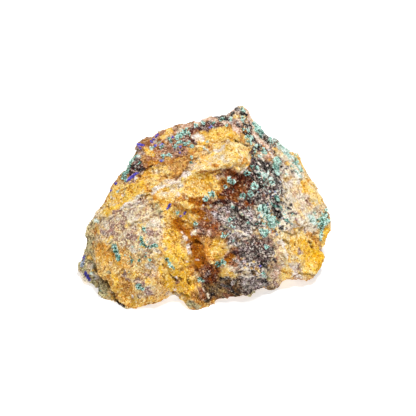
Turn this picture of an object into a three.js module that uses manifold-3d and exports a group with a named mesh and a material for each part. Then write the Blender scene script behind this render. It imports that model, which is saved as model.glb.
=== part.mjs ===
// A hand-sized stone of iron-stained rock with malachite and azurite grown on it.
// The stone is one solid. It is shaped as its finder would show it, with its best face
// square to the viewer: x runs right, up runs up that face, and depth runs into the stone.
// Then it leans back onto its broken underside and stands on the plane z = 0.

import * as THREE from "three";
import { ImprovedNoise } from "three/addons/math/ImprovedNoise.js";
import { mergeVertices } from "three/addons/utils/BufferGeometryUtils.js";
import Module from "manifold-3d";

const { degToRad, smoothstep, clamp, lerp } = THREE.MathUtils;

// ---- driving dimensions, in millimetres and degrees ----
const width = 60; // across the stone, left edge to right edge
const leanBack = 33; // the face leans back this far from upright
const bellyUp = 22; // height up the face of the middle of the stone
const frontShare = 0.6; // share of the surface's facets that are on the display face
const surfaceDetail = 18; // facet rows along each edge of the starting icosahedron
const faceFullness = 0.7; // 1 gives a round belly, smaller gives a flatter face and a tighter rim
const backFullness = 0.72;
const edgeBlend = 0.9; // how far two broken faces round into each other

// ---- the rim: where the stone turns from the display face to its back ----
// Each stretch is a run of corners, [x, up, depth], and the runs go anticlockwise.
const rim = {
  rightFoot: [[18.5, 7.4, 8.5], [19.8, 8, 9], [22.7, 6.9, 8], [26, 8.1, 10], [27.4, 9.5, 11]],
  rightEdge: [[27.8, 12.4, 11.5], [28.7, 14.8, 12], [30.2, 17.8, 13], [30, 21.5, 13], [29.2, 24.9, 13]],
  rightBulge: [[25.3, 31.2, 13.5], [22.5, 34.8, 14], [21.8, 36.4, 14], [19.9, 37.1, 12]],
  crest: [[17.4, 39.6, 10.5], [15.3, 41.1, 9.5], [12.8, 43.9, 8], [10.8, 45, 6.5]],
  peak: [[10.5, 46.8, 6], [8.7, 48.1, 5.5], [7.2, 47.5, 6], [5.6, 46.4, 7]],
  brow: [[0.5, 45.5, 8], [-4.2, 43.9, 8.5], [-7.5, 42.1, 9], [-10.9, 41.3, 9.5], [-14.3, 39.9, 10]],
  leftShoulder: [[-16.2, 38.3, 10], [-15.6, 36.6, 9]],
  leftEdge: [[-17.2, 33.6, 8.5], [-19.6, 30.7, 8.5], [-22.3, 27.6, 8.5]],
  leftBelly: [[-25.7, 24.2, 9], [-28.1, 18.6, 9.5]],
  leftSlab: [[-27.9, 14.9, 10], [-29.4, 13, 11], [-30.1, 9.4, 11], [-29.5, 8, 10.5], [-27.3, 6.1, 8]],
  slabFoot: [[-25.9, 5.3, 7], [-23.5, 2.8, 3.5], [-21.1, 2.3, 3]],
  lobeFoot: [[-18.5, 0.2, 0.2], [-16, 0.1, 0], [-13.5, 0.9, 0.8], [-10.5, 1.7, 1.5]],
  notch: [[-8.6, 3.6, 3.8], [-6.4, 4, 4.2], [-4.7, 2.4, 2.8]],
  spur: [[-2.9, 0.7, 0.6], [-0.4, 0.5, 0.5], [1.7, 2, 2], [3.9, 2.9, 3.4]],
  moundFoot: [[8.5, 2.3, 2.4], [11, 3, 3.4], [14, 5, 6.4], [15.5, 4.6, 5.6], [17.2, 5.7, 6.6]],
};

// ---- broken faces: each is a plane, by a point on it and its slope in x and in up ----
const displayFaces = {
  lowerWall: { at: [0, 0, 0.3], slope: [0, -0.48] },
  middle: { at: [0, 18, -4.4], slope: [0.01, 0.02] },
  crown: { at: [-6, 30, -4.6], slope: [-0.1, 0.62] },
  leftFlank: { at: [-20, 20, -2.5], slope: [-0.95, 0.25] },
  rightFlank: { at: [15, 22, -2.5], slope: [0.75, 0.12] },
  rightShoulder: { at: [12, 36, -1.5], slope: [0.55, 0.5] },
  lowerRight: { at: [22, 8, 3], slope: [0.55, -0.45] },
};
const hiddenFaces = {
  underside: { at: [0, 0, 1.5], slope: [0, 1 / Math.tan(degToRad(leanBack))] },
  backWall: { at: [0, 30, 29], slope: [0.12, -0.5] },
  backLeft: { at: [-17, 26, 22], slope: [0.8, -0.3] },
  backRight: { at: [18, 24, 24], slope: [-0.8, -0.3] },
  backTop: { at: [4, 42, 17], slope: [0.1, -1.3] },
};

// ---- swellings and hollows of the display face; lift is towards the viewer ----
const swellings = {
  leftLobe: { at: [-13.5, 11], reach: [13, 12.5], lift: 3 },
  darkMound: { at: [11, 14], reach: [9.5, 11], lift: 3 },
  rightLobe: { at: [22.5, 12], reach: [6.5, 6], lift: 2 },
  spurRoot: { at: [-3.5, 5], reach: [3.5, 6], lift: 1.6 },
  leftLedge: { at: [-12, 25], reach: [9, 4], lift: 1 },
  recessUnderSlab: { at: [8.2, 28.5], reach: [7, 4.6], lift: -3.4 },
  recessTail: { at: [3.5, 22.5], reach: [4.5, 5], lift: -1.8 },
  shoulderHollow: { at: [-17, 33.2], reach: [3, 3.4], lift: -1.8 },
  rightDimple: { at: [19.5, 17], reach: [3, 2], lift: -1 },
};
const hiddenSwellings = {
  backKnuckle: { at: [-7, 29], reach: [9, 6.5], lift: 2.6 },
  backHollow: { at: [8, 31], reach: [8, 6], lift: -3 },
  backLedge: { at: [-1, 38.5], reach: [13, 3.4], lift: 1.8 },
  rightHeel: { at: [19, 24], reach: [6, 5], lift: 1.6 },
  leftHeel: { at: [-19, 21], reach: [5, 6], lift: 1.4 },
  hollowBehindNotch: { at: [-5.5, 6.5], reach: [4, 5], lift: -3 },
  hollowUnderMiddle: { at: [5, 14.5], reach: [8, 5.5], lift: -2.4 },
};
const valley = { line: [[-6, 23], [-3.6, 18.5], [-2, 12], [-0.8, 6]], reach: 3.2, lift: -1.6 };
const seam = {
  line: [[-25.4, 19], [-25.7, 14.5], [-25.6, 8.6], [-22.5, 5.2], [-20.8, 1]],
  drop: 5.5, // the rock left of the line lies this much deeper
  fade: 0.9,
};
const slab = {
  upperEdge: [[-13, 28], [-6.2, 31.5], [0.5, 36.2], [5.7, 40], [10.4, 40.5]],
  lowerEdge: [[11, 36.5], [10, 33], [4.3, 32.2], [-1.4, 31.2], [-8, 27.6]],
  lift: 2.4,
  fade: [-0.4, 1.7], // the lift grows over this way in from the edge
};

// ---- roughness of the broken rock ----
const roughness = [
  { size: 11, height: 0.9 },
  { size: 4.6, height: 0.55 },
  { size: 2.4, height: 0.28 },
];
const grainShift = [7.3, 3.1, -5.7]; // moves the layers of roughness off each other
const chips = { size: 6.5, tilt: 0.2, height: 0.35 }; // flat chip scars with steps between them
const scramble = { x: 127.1, y: 311.7, z: 74.7, salt: 191.3, stretch: 43758.5453 }; // for repeatable chance

// ---- malachite knobs: [x, up, radius], on the rock where the mineral grew thickest ----
const knobs = {
  peak: [[8.7, 47, 0.9], [9.4, 45.2, 1.1], [10, 43.2, 0.9], [10.4, 40.5, 1.3]],
  crest: [[12.8, 42.2, 1.1], [14.6, 40.8, 1.1], [15.7, 39.4, 1], [13.2, 37.9, 1], [17.6, 37.6, 0.9]],
  crust: [[12.4, 33.6, 0.9], [17.3, 35, 1.2], [16.9, 32.9, 1.1], [15, 31.4, 0.8]],
  rightCrest: [[20.6, 34.6, 1], [22.4, 31.6, 0.9]],
  recess: [[6.4, 30.3, 1.2], [10.2, 32.2, 0.8], [11.6, 29.1, 1], [11.2, 27.3, 1], [9.2, 26.6, 0.8]],
  middle: [[1.9, 27, 1], [0.5, 26.3, 0.7]],
  bloom: [[14, 23.7, 1.3], [15.7, 20.4, 1.4], [14.4, 18, 1.1], [17.6, 26, 0.9]],
  rightCrust: [[28.3, 23, 1.1], [27.8, 20.4, 1.3], [27.3, 17.6, 1.1]],
  brow: [[-4.7, 41.4, 1.3], [-6.6, 39.2, 0.9], [-4.5, 39.2, 0.9], [-2.8, 38.3, 0.9]],
  lowerBrow: [[-9.7, 36, 0.9], [-8.3, 36.4, 0.8]],
  shoulder: [[-16.4, 34, 0.9], [-17.4, 32.6, 0.9], [-18.2, 30.8, 0.8]],
  lobe: [[-21.2, 14, 0.8], [-20.2, 12, 0.7], [-15.4, 5.4, 0.8], [-14.3, 18.6, 0.8]],
  foot: [[3.8, 10.9, 1], [-8.5, 11.4, 0.7]],
};
const knobSquash = 0.62; // height of a knob against its width
const knobSunk = 0.25; // share of a knob's radius that is below the rock
const knobTurn = { x: 2.1, y: 1.3 }; // each knob is turned this much further than the last, in radians

const mergeWithin = 1e-4; // vertices nearer than this are one

// ---- colour and finish ----
const rockFinish = { color: 0xc28a3a, roughness: 0.9, metalness: 0 };

// Smallest of several numbers, with the corners between them rounded off.
function softMin(values, blend) {
  const least = Math.min(...values);
  const total = values.reduce((sum, v) => sum + Math.exp((least - v) / blend), 0);
  return least - blend * Math.log(total);
}

const softMax = (values, blend) => -softMin(values.map((v) => -v), blend);

const depthOnFace = ({ at, slope }, x, up) => at[2] + slope[0] * (x - at[0]) + slope[1] * (up - at[1]);

// Distance from (x, up) to the stretch between two points, and which side of it the point is on.
function strokeDistance([ax, au], [bx, bu], x, up) {
  const [dx, du] = [bx - ax, bu - au];
  const along = clamp(((x - ax) * dx + (up - au) * du) / (dx * dx + du * du), 0, 1);
  const distance = Math.hypot(x - ax - along * dx, up - au - along * du);
  return { distance, side: Math.sign(dx * (up - au) - du * (x - ax)) };
}

function nearestStroke(points, x, up, closed = false) {
  const count = closed ? points.length : points.length - 1;
  let nearest = { distance: Infinity, side: 1 };
  for (let i = 0; i < count; i++) {
    const stroke = strokeDistance(points[i], points[(i + 1) % points.length], x, up);
    if (stroke.distance < nearest.distance) nearest = stroke;
  }
  return nearest;
}

function insideOutline(points, x, up) {
  let inside = false;
  points.forEach(([ax, au], i) => {
    const [bx, bu] = points[(i + 1) % points.length];
    if (au > up !== bu > up && x < ax + ((up - au) * (bx - ax)) / (bu - au)) inside = !inside;
  });
  return inside;
}

// How far the rim is from the middle of the stone in one direction, and how deep it is there.
const rimCorners = Object.values(rim).flat();
function rimTowards(cos, sin) {
  for (let i = 0; i < rimCorners.length; i++) {
    const [ax, au, ad] = rimCorners[i];
    const [bx, bu, bd] = rimCorners[(i + 1) % rimCorners.length];
    const a = ax * sin - (au - bellyUp) * cos;
    const b = bx * sin - (bu - bellyUp) * cos;
    if (a * b > 0 || a === b) continue;
    const share = a / (a - b);
    const reach = lerp(ax, bx, share) * cos + (lerp(au, bu, share) - bellyUp) * sin;
    if (reach > 0) return { reach, depth: lerp(ad, bd, share) };
  }
  throw new Error("the rim is not closed around the middle of the stone");
}

// Sum of the swellings and hollows that reach a point.
function swellingLift(group, x, up) {
  let total = 0;
  for (const { at, reach, lift } of Object.values(group)) {
    const away = Math.hypot((x - at[0]) / reach[0], (up - at[1]) / reach[1]);
    if (away < 1) total += lift * (1 - away * away) ** 2;
  }
  return total;
}

const slabEdge = [...slab.upperEdge, ...slab.lowerEdge];

// Everything that stands out of the display face or is hollowed into it, in millimetres.
function faceLift(x, up) {
  let lift = swellingLift(swellings, x, up);
  const toValley = nearestStroke(valley.line, x, up).distance / valley.reach;
  if (toValley < 1) lift += valley.lift * (1 - toValley * toValley) ** 2;
  const toSeam = nearestStroke(seam.line, x, up);
  lift -= seam.drop * smoothstep(-toSeam.side * toSeam.distance, -seam.fade / 2, seam.fade / 2);
  if (insideOutline(slabEdge, x, up)) {
    lift += slab.lift * smoothstep(nearestStroke(slabEdge, x, up, true).distance, ...slab.fade);
  }
  return lift;
}

function displayDepth(x, up) {
  const depths = Object.values(displayFaces).map((face) => depthOnFace(face, x, up));
  return softMax(depths, edgeBlend) - faceLift(x, up);
}

function hiddenDepth(x, up) {
  const depths = Object.values(hiddenFaces).map((face) => depthOnFace(face, x, up));
  return softMin(depths, edgeBlend) + swellingLift(hiddenSwellings, x, up);
}

// A repeatable number from 0 to 1 for each cell of a grid.
function cellNumber(i, j, k, salt) {
  const angle = i * scramble.x + j * scramble.y + k * scramble.z + salt * scramble.salt;
  const wave = Math.sin(angle) * scramble.stretch;
  return wave - Math.floor(wave);
}

// The chip scar that starts from one cell of a grid: its middle, the way it leans and its height.
function chipIn(i, j, k) {
  const number = (salt) => cellNumber(i, j, k, salt);
  return {
    middle: new THREE.Vector3(i + number(1), j + number(2), k + number(3)).multiplyScalar(chips.size),
    lean: new THREE.Vector3(number(4) - 0.5, number(5) - 0.5, number(6) - 0.5).multiplyScalar(2 * chips.tilt),
    height: chips.height * (2 * number(7) - 1),
  };
}

// Height of the rock at a point on the chip scar that covers it, which is the nearest one.
function chipHeight(p) {
  const cell = p.clone().divideScalar(chips.size).floor();
  let nearest = Infinity;
  let height = 0;
  for (let i = cell.x - 1; i <= cell.x + 1; i++)
    for (let j = cell.y - 1; j <= cell.y + 1; j++)
      for (let k = cell.z - 1; k <= cell.z + 1; k++) {
        const chip = chipIn(i, j, k);
        const offset = p.clone().sub(chip.middle);
        if (offset.lengthSq() > nearest) continue;
        nearest = offset.lengthSq();
        height = chip.lean.dot(offset) + chip.height;
      }
  return height;
}

const noise = new ImprovedNoise();
function roughnessAt(p) {
  const [right, away, high] = grainShift;
  return roughness.reduce(
    (sum, { size, height }, layer) =>
      sum + height * noise.noise(p.x / size + right * layer, p.y / size + away, p.z / size + high),
    chipHeight(p),
  );
}

// The way out of the stone: sideways at the rim, and along the depth at the middle of a face.
function wayOut(cos, sin, inward, isFront) {
  const sideways = 1 - inward;
  return new THREE.Vector3(cos * sideways, isFront ? -inward : inward, sin * sideways).normalize();
}

// The rock itself: a finely divided icosahedron whose every vertex is carried to the stone's surface.
function rockGeometry() {
  const geometry = new THREE.IcosahedronGeometry(1, surfaceDetail);
  const position = geometry.getAttribute("position");
  const rimLatitude = 2 * frontShare - 1;
  for (let i = 0; i < position.count; i++) {
    const onBall = new THREE.Vector3().fromBufferAttribute(position, i);
    const isFront = onBall.y < rimLatitude;
    const capHeight = isFront ? 1 + rimLatitude : 1 - rimLatitude;
    const inward = Math.min(1, Math.abs(onBall.y - rimLatitude) / capHeight);
    const around = Math.hypot(onBall.x, onBall.z) || 1;
    const [cos, sin] = [onBall.x / around, onBall.z / around];
    const { reach, depth: rimDepth } = rimTowards(cos, sin);
    const outward = reach * Math.sqrt(1 - inward * inward);
    const [x, up] = [outward * cos, bellyUp + outward * sin];
    const depth = isFront ? displayDepth(x, up) : hiddenDepth(x, up);
    const fullness = isFront ? faceFullness : backFullness;
    const onStone = new THREE.Vector3(x, lerp(rimDepth, depth, inward ** fullness), up);
    onStone.addScaledVector(wayOut(cos, sin, inward, isFront), roughnessAt(onStone));
    position.setXYZ(i, onStone.x, onStone.y, onStone.z);
  }
  return geometry;
}

// A malachite knob: a small blunt cluster with flat crystal faces, standing on the display face.
function knobGeometry(x, up, radius, turn) {
  const geometry = new THREE.IcosahedronGeometry(radius, 0);
  geometry.rotateX(turn * knobTurn.x);
  geometry.rotateY(turn * knobTurn.y);
  geometry.scale(1, knobSquash, 1);
  const [cos, sin] = rimDirection(x, up);
  const { reach, depth: rimDepth } = rimTowards(cos, sin);
  const share = Math.min(1, Math.hypot(x, up - bellyUp) / reach);
  const inward = Math.sqrt(1 - share * share);
  const depth = lerp(rimDepth, displayDepth(x, up), inward ** faceFullness);
  const base = new THREE.Vector3(x, depth, up);
  const rise = roughnessAt(base) - knobSunk * radius * knobSquash;
  base.addScaledVector(wayOut(cos, sin, inward, true), rise);
  return geometry.translate(base.x, base.y, base.z);
}

function rimDirection(x, up) {
  const away = Math.hypot(x, up - bellyUp) || 1;
  return [x / away, (up - bellyUp) / away];
}

// ---- joining and cutting ----
const wasm = await Module();
wasm.setup();

function solidOf(geometry) {
  const bare = new THREE.BufferGeometry();
  bare.setAttribute("position", geometry.getAttribute("position"));
  if (geometry.index) bare.setIndex(geometry.index);
  const merged = mergeVertices(bare, mergeWithin);
  return new wasm.Manifold(
    new wasm.Mesh({
      numProp: 3,
      vertProperties: merged.getAttribute("position").array,
      triVerts: new Uint32Array(merged.index.array),
    }),
  );
}

function geometryOf(solid) {
  const mesh = solid.getMesh();
  const geometry = new THREE.BufferGeometry();
  geometry.setAttribute("position", new THREE.BufferAttribute(new Float32Array(mesh.vertProperties), 3));
  geometry.setIndex(new THREE.BufferAttribute(new Uint32Array(mesh.triVerts), 1));
  geometry.computeVertexNormals();
  return geometry;
}

// The stone as one solid, leaning back on its underside, with the lowest bumps worn flat.
function stoneGeometry() {
  let stone = solidOf(rockGeometry());
  for (const [turn, [x, up, radius]] of Object.values(knobs).flat().entries()) {
    stone = stone.add(solidOf(knobGeometry(x, up, radius, turn)));
  }
  const leaning = geometryOf(stone).rotateX(-degToRad(leanBack));
  const ground = new THREE.BoxGeometry(4 * width, 4 * width, width).translate(0, 0, -width / 2);
  return geometryOf(solidOf(leaning).subtract(solidOf(ground)));
}

const stone = new THREE.Mesh(stoneGeometry(), new THREE.MeshStandardMaterial(rockFinish));
stone.name = "stone";
stone.geometry.computeBoundingBox();
const middle = stone.geometry.boundingBox.getCenter(new THREE.Vector3());
stone.position.set(-middle.x, -middle.y, 0);

const specimen = new THREE.Group();
specimen.add(stone);

export default specimen;
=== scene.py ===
import math

import bmesh
import bpy
import numpy as np
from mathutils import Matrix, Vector
from mathutils.bvhtree import BVHTree


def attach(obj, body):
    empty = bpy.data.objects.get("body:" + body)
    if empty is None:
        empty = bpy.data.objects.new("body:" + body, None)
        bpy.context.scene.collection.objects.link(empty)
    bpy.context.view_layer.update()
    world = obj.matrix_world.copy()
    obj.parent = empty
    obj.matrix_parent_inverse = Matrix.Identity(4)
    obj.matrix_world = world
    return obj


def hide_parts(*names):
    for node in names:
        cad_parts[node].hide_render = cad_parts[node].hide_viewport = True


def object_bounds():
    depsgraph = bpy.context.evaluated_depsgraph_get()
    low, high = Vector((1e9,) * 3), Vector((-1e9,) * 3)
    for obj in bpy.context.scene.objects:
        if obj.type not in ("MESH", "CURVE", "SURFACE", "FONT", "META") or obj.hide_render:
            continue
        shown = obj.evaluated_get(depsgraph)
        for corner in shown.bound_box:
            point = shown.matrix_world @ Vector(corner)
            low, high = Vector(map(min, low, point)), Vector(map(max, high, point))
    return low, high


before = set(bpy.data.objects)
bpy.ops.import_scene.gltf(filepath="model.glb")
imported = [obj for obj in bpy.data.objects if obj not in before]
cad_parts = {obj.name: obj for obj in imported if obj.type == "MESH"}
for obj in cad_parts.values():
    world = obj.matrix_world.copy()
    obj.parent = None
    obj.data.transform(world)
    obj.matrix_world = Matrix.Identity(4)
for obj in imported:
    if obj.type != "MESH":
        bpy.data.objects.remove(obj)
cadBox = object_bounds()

# A stone of iron-stained rock with malachite and azurite on it. Its shape comes from the frame;
# this script gives it its broken surface, its colours and its crystals.

millimetre = 0.001
print("frame loaded")

# on the display face, x runs right, up runs up the face and depth runs into the stone, in mm
face = {
    "leanBack": math.radians(33),      # how far the face leans back from upright
    "zero": (-0.08, -20.67, 0),        # where x, up and depth are nought, in the frame
    "middle": (0.95, 23.9, 8),         # the point that the viewer looks straight at: x, up, depth
    "viewerAway": 410.1,               # from that point to the viewer
    "lens": 150,                       # of the viewer's camera
}
acrossWay = np.array((1, 0, 0))
upWay = np.array((0, math.sin(face["leanBack"]), math.cos(face["leanBack"])))
inWay = np.array((0, math.cos(face["leanBack"]), -math.sin(face["leanBack"])))


def fromFace(x, up, depth):
    return np.array(face["zero"]) + x * acrossWay + up * upWay + depth * inWay


viewer = fromFace(face["middle"][0], face["middle"][1], face["middle"][2] - face["viewerAway"])


def seenPlaces(points):                # x and up of each point, as the viewer sees it
    offsets = points - fromFace(*face["middle"])
    shrink = face["viewerAway"] / (face["viewerAway"] + offsets @ inWay)
    return np.stack([
        face["middle"][0] + offsets @ acrossWay * shrink,
        face["middle"][1] + offsets @ upWay * shrink,
    ], axis=1)


cameraData = bpy.data.cameras.new("viewer")
cameraData.lens = face["lens"]
camera = bpy.data.objects.new("viewer", cameraData)
camera.location = viewer * millimetre
camera.rotation_euler = (math.pi / 2 - face["leanBack"], 0, 0)
bpy.context.scene.collection.objects.link(camera)
bpy.context.scene.camera = camera


class Field:                           # random numbers spread through space
    def __init__(self, seed):
        dice = np.random.default_rng(seed)
        self.order = dice.permutation(256)
        self.leans = dice.normal(size=(256, 3))
        self.leans /= np.linalg.norm(self.leans, axis=1, keepdims=True)
        self.numbers = dice.random((256, 4))

    def pick(self, cells):             # 0 to 255, the same for the same cell each time
        cells = cells & 255
        row = self.order[cells[:, 0]]
        row = self.order[(row + cells[:, 1]) & 255]
        return self.order[(row + cells[:, 2]) & 255]

    def waves(self, points, size, layers=1):   # smooth ups and downs, about -1 to 1
        total, height = np.zeros(len(points)), 1.6
        for layer in range(layers):
            places = points / size + 17.3 * layer
            corner = np.floor(places).astype(int)
            inside = places - corner
            ease = inside ** 3 * (inside * (inside * 6 - 15) + 10)
            for step in np.ndindex(2, 2, 2):
                lean = self.leans[self.pick(corner + step)]
                weight = np.prod(np.where(step, ease, 1 - ease), axis=1)
                total += height * weight * np.einsum("ij,ij->i", lean, inside - step)
            size, height = size / 2, height / 2
        return total

    def cells(self, points, size):     # which cell, the way from its middle, and how near its border
        places = points / size
        corner = np.floor(places).astype(int)
        nearest = np.full(len(points), 9.0)
        second = nearest.copy()
        which = np.zeros(len(points), int)
        away = np.zeros_like(points)
        for step in np.ndindex(3, 3, 3):
            cell = corner + step - 1
            number = self.pick(cell)
            offset = places - cell - self.numbers[number, :3]
            distance = np.linalg.norm(offset, axis=1)
            closer = distance < nearest
            second = np.where(closer, nearest, np.minimum(second, distance))
            nearest = np.where(closer, distance, nearest)
            which = np.where(closer, number, which)
            away = np.where(closer[:, None], offset, away)
        return which, away * size, (second - nearest) * size

    def chips(self, points, size, tilt, step):   # flat broken scars, each leaning its own way
        which, away, border = self.cells(points, size)
        lean = np.einsum("ij,ij->i", self.leans[which], away)
        return lean * tilt + (self.numbers[which, 3] - 0.5) * step


def smoothStep(low, high, values):
    share = np.clip((values - low) / (high - low), 0, 1)
    return share * share * (3 - 2 * share)


# lines and outlines are drawn on the face as x and up of their points
def lineDistance(places, line, closed=False):
    line = np.array(line, float).reshape(-1, 2)
    ends = np.roll(line, -1, axis=0) if closed or len(line) == 1 else line[1:]
    nearest = np.full(len(places), 1e9)
    for start, end in zip(line, ends):
        run = end - start
        along = np.clip((places - start) @ run / max(run @ run, 1e-9), 0, 1)
        nearest = np.minimum(nearest, np.linalg.norm(places - start - along[:, None] * run, axis=1))
    return nearest


def insideOf(places, outline):
    inside = np.zeros(len(places), bool)
    for (startX, startUp), (endX, endUp) in zip(outline, outline[1:] + outline[:1]):
        crosses = (startUp > places[:, 1]) != (endUp > places[:, 1])
        crossing = startX + (places[:, 1] - startUp) * (endX - startX) / ((endUp - startUp) or 1)
        inside ^= crosses & (places[:, 0] < crossing)
    return inside


def sideOf(places, line):              # 1 on the left of the line, -1 on its right
    side = np.zeros(len(places))
    nearest = np.full(len(places), 1e9)
    for start, end in zip(line, line[1:]):
        run = np.array(end) - start
        gap = lineDistance(places, [start, end])
        turn = run[0] * (places[:, 1] - start[1]) - run[1] * (places[:, 0] - start[0])
        side = np.where(gap < nearest, np.sign(turn), side)
        nearest = np.minimum(nearest, gap)
    return side


def outlineDistance(places, outline):  # below nought inside the outline
    distance = lineDistance(places, outline, closed=True)
    return np.where(insideOf(places, outline), -distance, distance)


# each pigment: body, pale grains, dark grains, shares of pale and dark grains, grit
pigments = {
    "tan": ("d6ac6c", "f6e4b0", "8a5e34", 0.30, 0.24, 0.8),
    "ochre": ("de9e34", "f8d886", "945812", 0.26, 0.21, 0.9),
    "gold": ("efbe52", "fceeae", "b4761c", 0.28, 0.18, 0.9),
    "yellow": ("f8c224", "fde274", "ac6c08", 0.22, 0.20, 1.0),
    "orange": ("d88e2c", "f6c870", "8e4a0c", 0.22, 0.22, 0.8),
    "paleGold": ("eecd80", "fdf2cc", "b88a42", 0.30, 0.16, 0.6),
    "clay": ("d8cab2", "fbf4e4", "988878", 0.34, 0.22, 0.7),
    "white": ("ecdfd0", "fffaf4", "b4988c", 0.36, 0.16, 0.6),
    "mauve": ("deba8e", "fcf0be", "9a7064", 0.34, 0.25, 0.8),
    "olive": ("b2a478", "e0d6aa", "5c5238", 0.30, 0.28, 0.8),
    "brown": ("b07a38", "e4b878", "6e4018", 0.22, 0.26, 0.8),
    "bark": ("60452c", "b09468", "1e140c", 0.18, 0.36, 1.0),
    "sienna": ("b27852", "f0ccac", "64382a", 0.28, 0.28, 0.8),
    "amber": ("a85c00", "cc8a0c", "663400", 0.06, 0.18, 0.5),
    "umber": ("7e2e0a", "d8a070", "2c0a00", 0.14, 0.36, 0.9),
    "maroon": ("5a3030", "d0b4aa", "1c0a0a", 0.14, 0.36, 1.0),
    "iron": ("604a42", "d4c6b8", "180e0c", 0.24, 0.40, 1.3),
    "lilac": ("8c7676", "f2e6e2", "281c1e", 0.34, 0.38, 1.3),
    "black": ("1e1413", "ccc0b6", "050202", 0.13, 0.42, 1.3),
    "peach": ("e6baa0", "fce8d4", "a06c50", 0.32, 0.22, 0.8),
    "green": ("86b8a0", "e8f8f0", "285040", 0.36, 0.30, 1.2),
    "darkGreen": ("3c7262", "a8dccc", "0e261e", 0.26, 0.36, 1.2),
    "paleGreen": ("c0d8c8", "f4fcf8", "76907e", 0.38, 0.26, 0.8),
    "rust": ("8c5232", "cca084", "46200c", 0.20, 0.32, 0.9),
    "saffron": ("ecb000", "f8dc54", "b88200", 0.18, 0.20, 0.9),
    "russet": ("b06a2c", "e8b87c", "64340f", 0.22, 0.26, 0.9),
    "plum": ("a88070", "e4cab4", "64443e", 0.26, 0.32, 0.9),
    "slate": ("8490b0", "c4d0e8", "4a5270", 0.26, 0.26, 0.6),
    "blue": ("6c64c4", "bcb6ea", "343074", 0.30, 0.30, 0.8),
    # painted shade for the insides of the cracks
    "crack": ("3a2408", "7a5420", "140a02", 0.10, 0.40, 0.6),
}

# what each pigment is mottled with, and how much
partners = {
    "tan": [("ochre", 0.6), ("gold", 0.8), ("plum", 0.4)],
    "ochre": [("tan", 0.8), ("orange", 0.6), ("gold", 0.8)], "saffron": [("yellow", 0.7), ("ochre", 0.5)],
    "gold": [("paleGold", 0.8), ("ochre", 0.6), ("yellow", 0.6)], "orange": [("ochre", 0.6), ("brown", 0.6)],
    "yellow": [("gold", 0.6), ("ochre", 0.6), ("paleGold", 0.5)],
    "paleGold": [("gold", 0.9), ("clay", 0.6), ("yellow", 0.5)], "white": [("mauve", 0.5), ("clay", 0.6)],
    "clay": [("mauve", 0.5), ("paleGold", 0.4), ("white", 0.5)], "bark": [("brown", 0.5), ("black", 0.3)],
    "mauve": [("clay", 0.7), ("paleGold", 0.8), ("plum", 0.6)], "olive": [("tan", 0.6), ("bark", 0.5)],
    "brown": [("russet", 0.7), ("ochre", 0.7), ("orange", 0.5)],
    "sienna": [("peach", 0.6), ("maroon", 0.6), ("brown", 0.5)],
    "russet": [("brown", 0.6), ("rust", 0.5), ("peach", 0.3)],
    "rust": [("umber", 0.6), ("plum", 0.3), ("amber", 0.5)], "plum": [("mauve", 0.5), ("lilac", 0.4)],
    "amber": [("umber", 0.4), ("brown", 0.15)], "umber": [("amber", 0.5), ("maroon", 0.6), ("black", 0.3)],
    "maroon": [("iron", 0.5), ("umber", 0.5)], "iron": [("lilac", 0.5), ("black", 0.7), ("maroon", 0.5)],
    "lilac": [("iron", 0.7), ("clay", 0.5), ("black", 0.4)], "peach": [("sienna", 0.6), ("clay", 0.6)],
}


def linearColour(code):                # red, green and blue of a colour code, as light
    shares = np.array([int(code[i:i + 2], 16) for i in (0, 2, 4)]) / 255
    return np.where(shares <= 0.04045, shares / 12.92, ((shares + 0.055) / 1.055) ** 2.4)


paleColumn, darkColumn = 4, 8          # where the pale and the dark colour start in a row of paint


def pigmentRow(name):                  # body and grit, pale and its share, dark and its share
    body, pale, dark, paleShare, darkShare, grit = pigments[name]
    return np.concatenate([
        linearColour(body), [grit], linearColour(pale), [paleShare], linearColour(dark), [darkShare],
    ])


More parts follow.
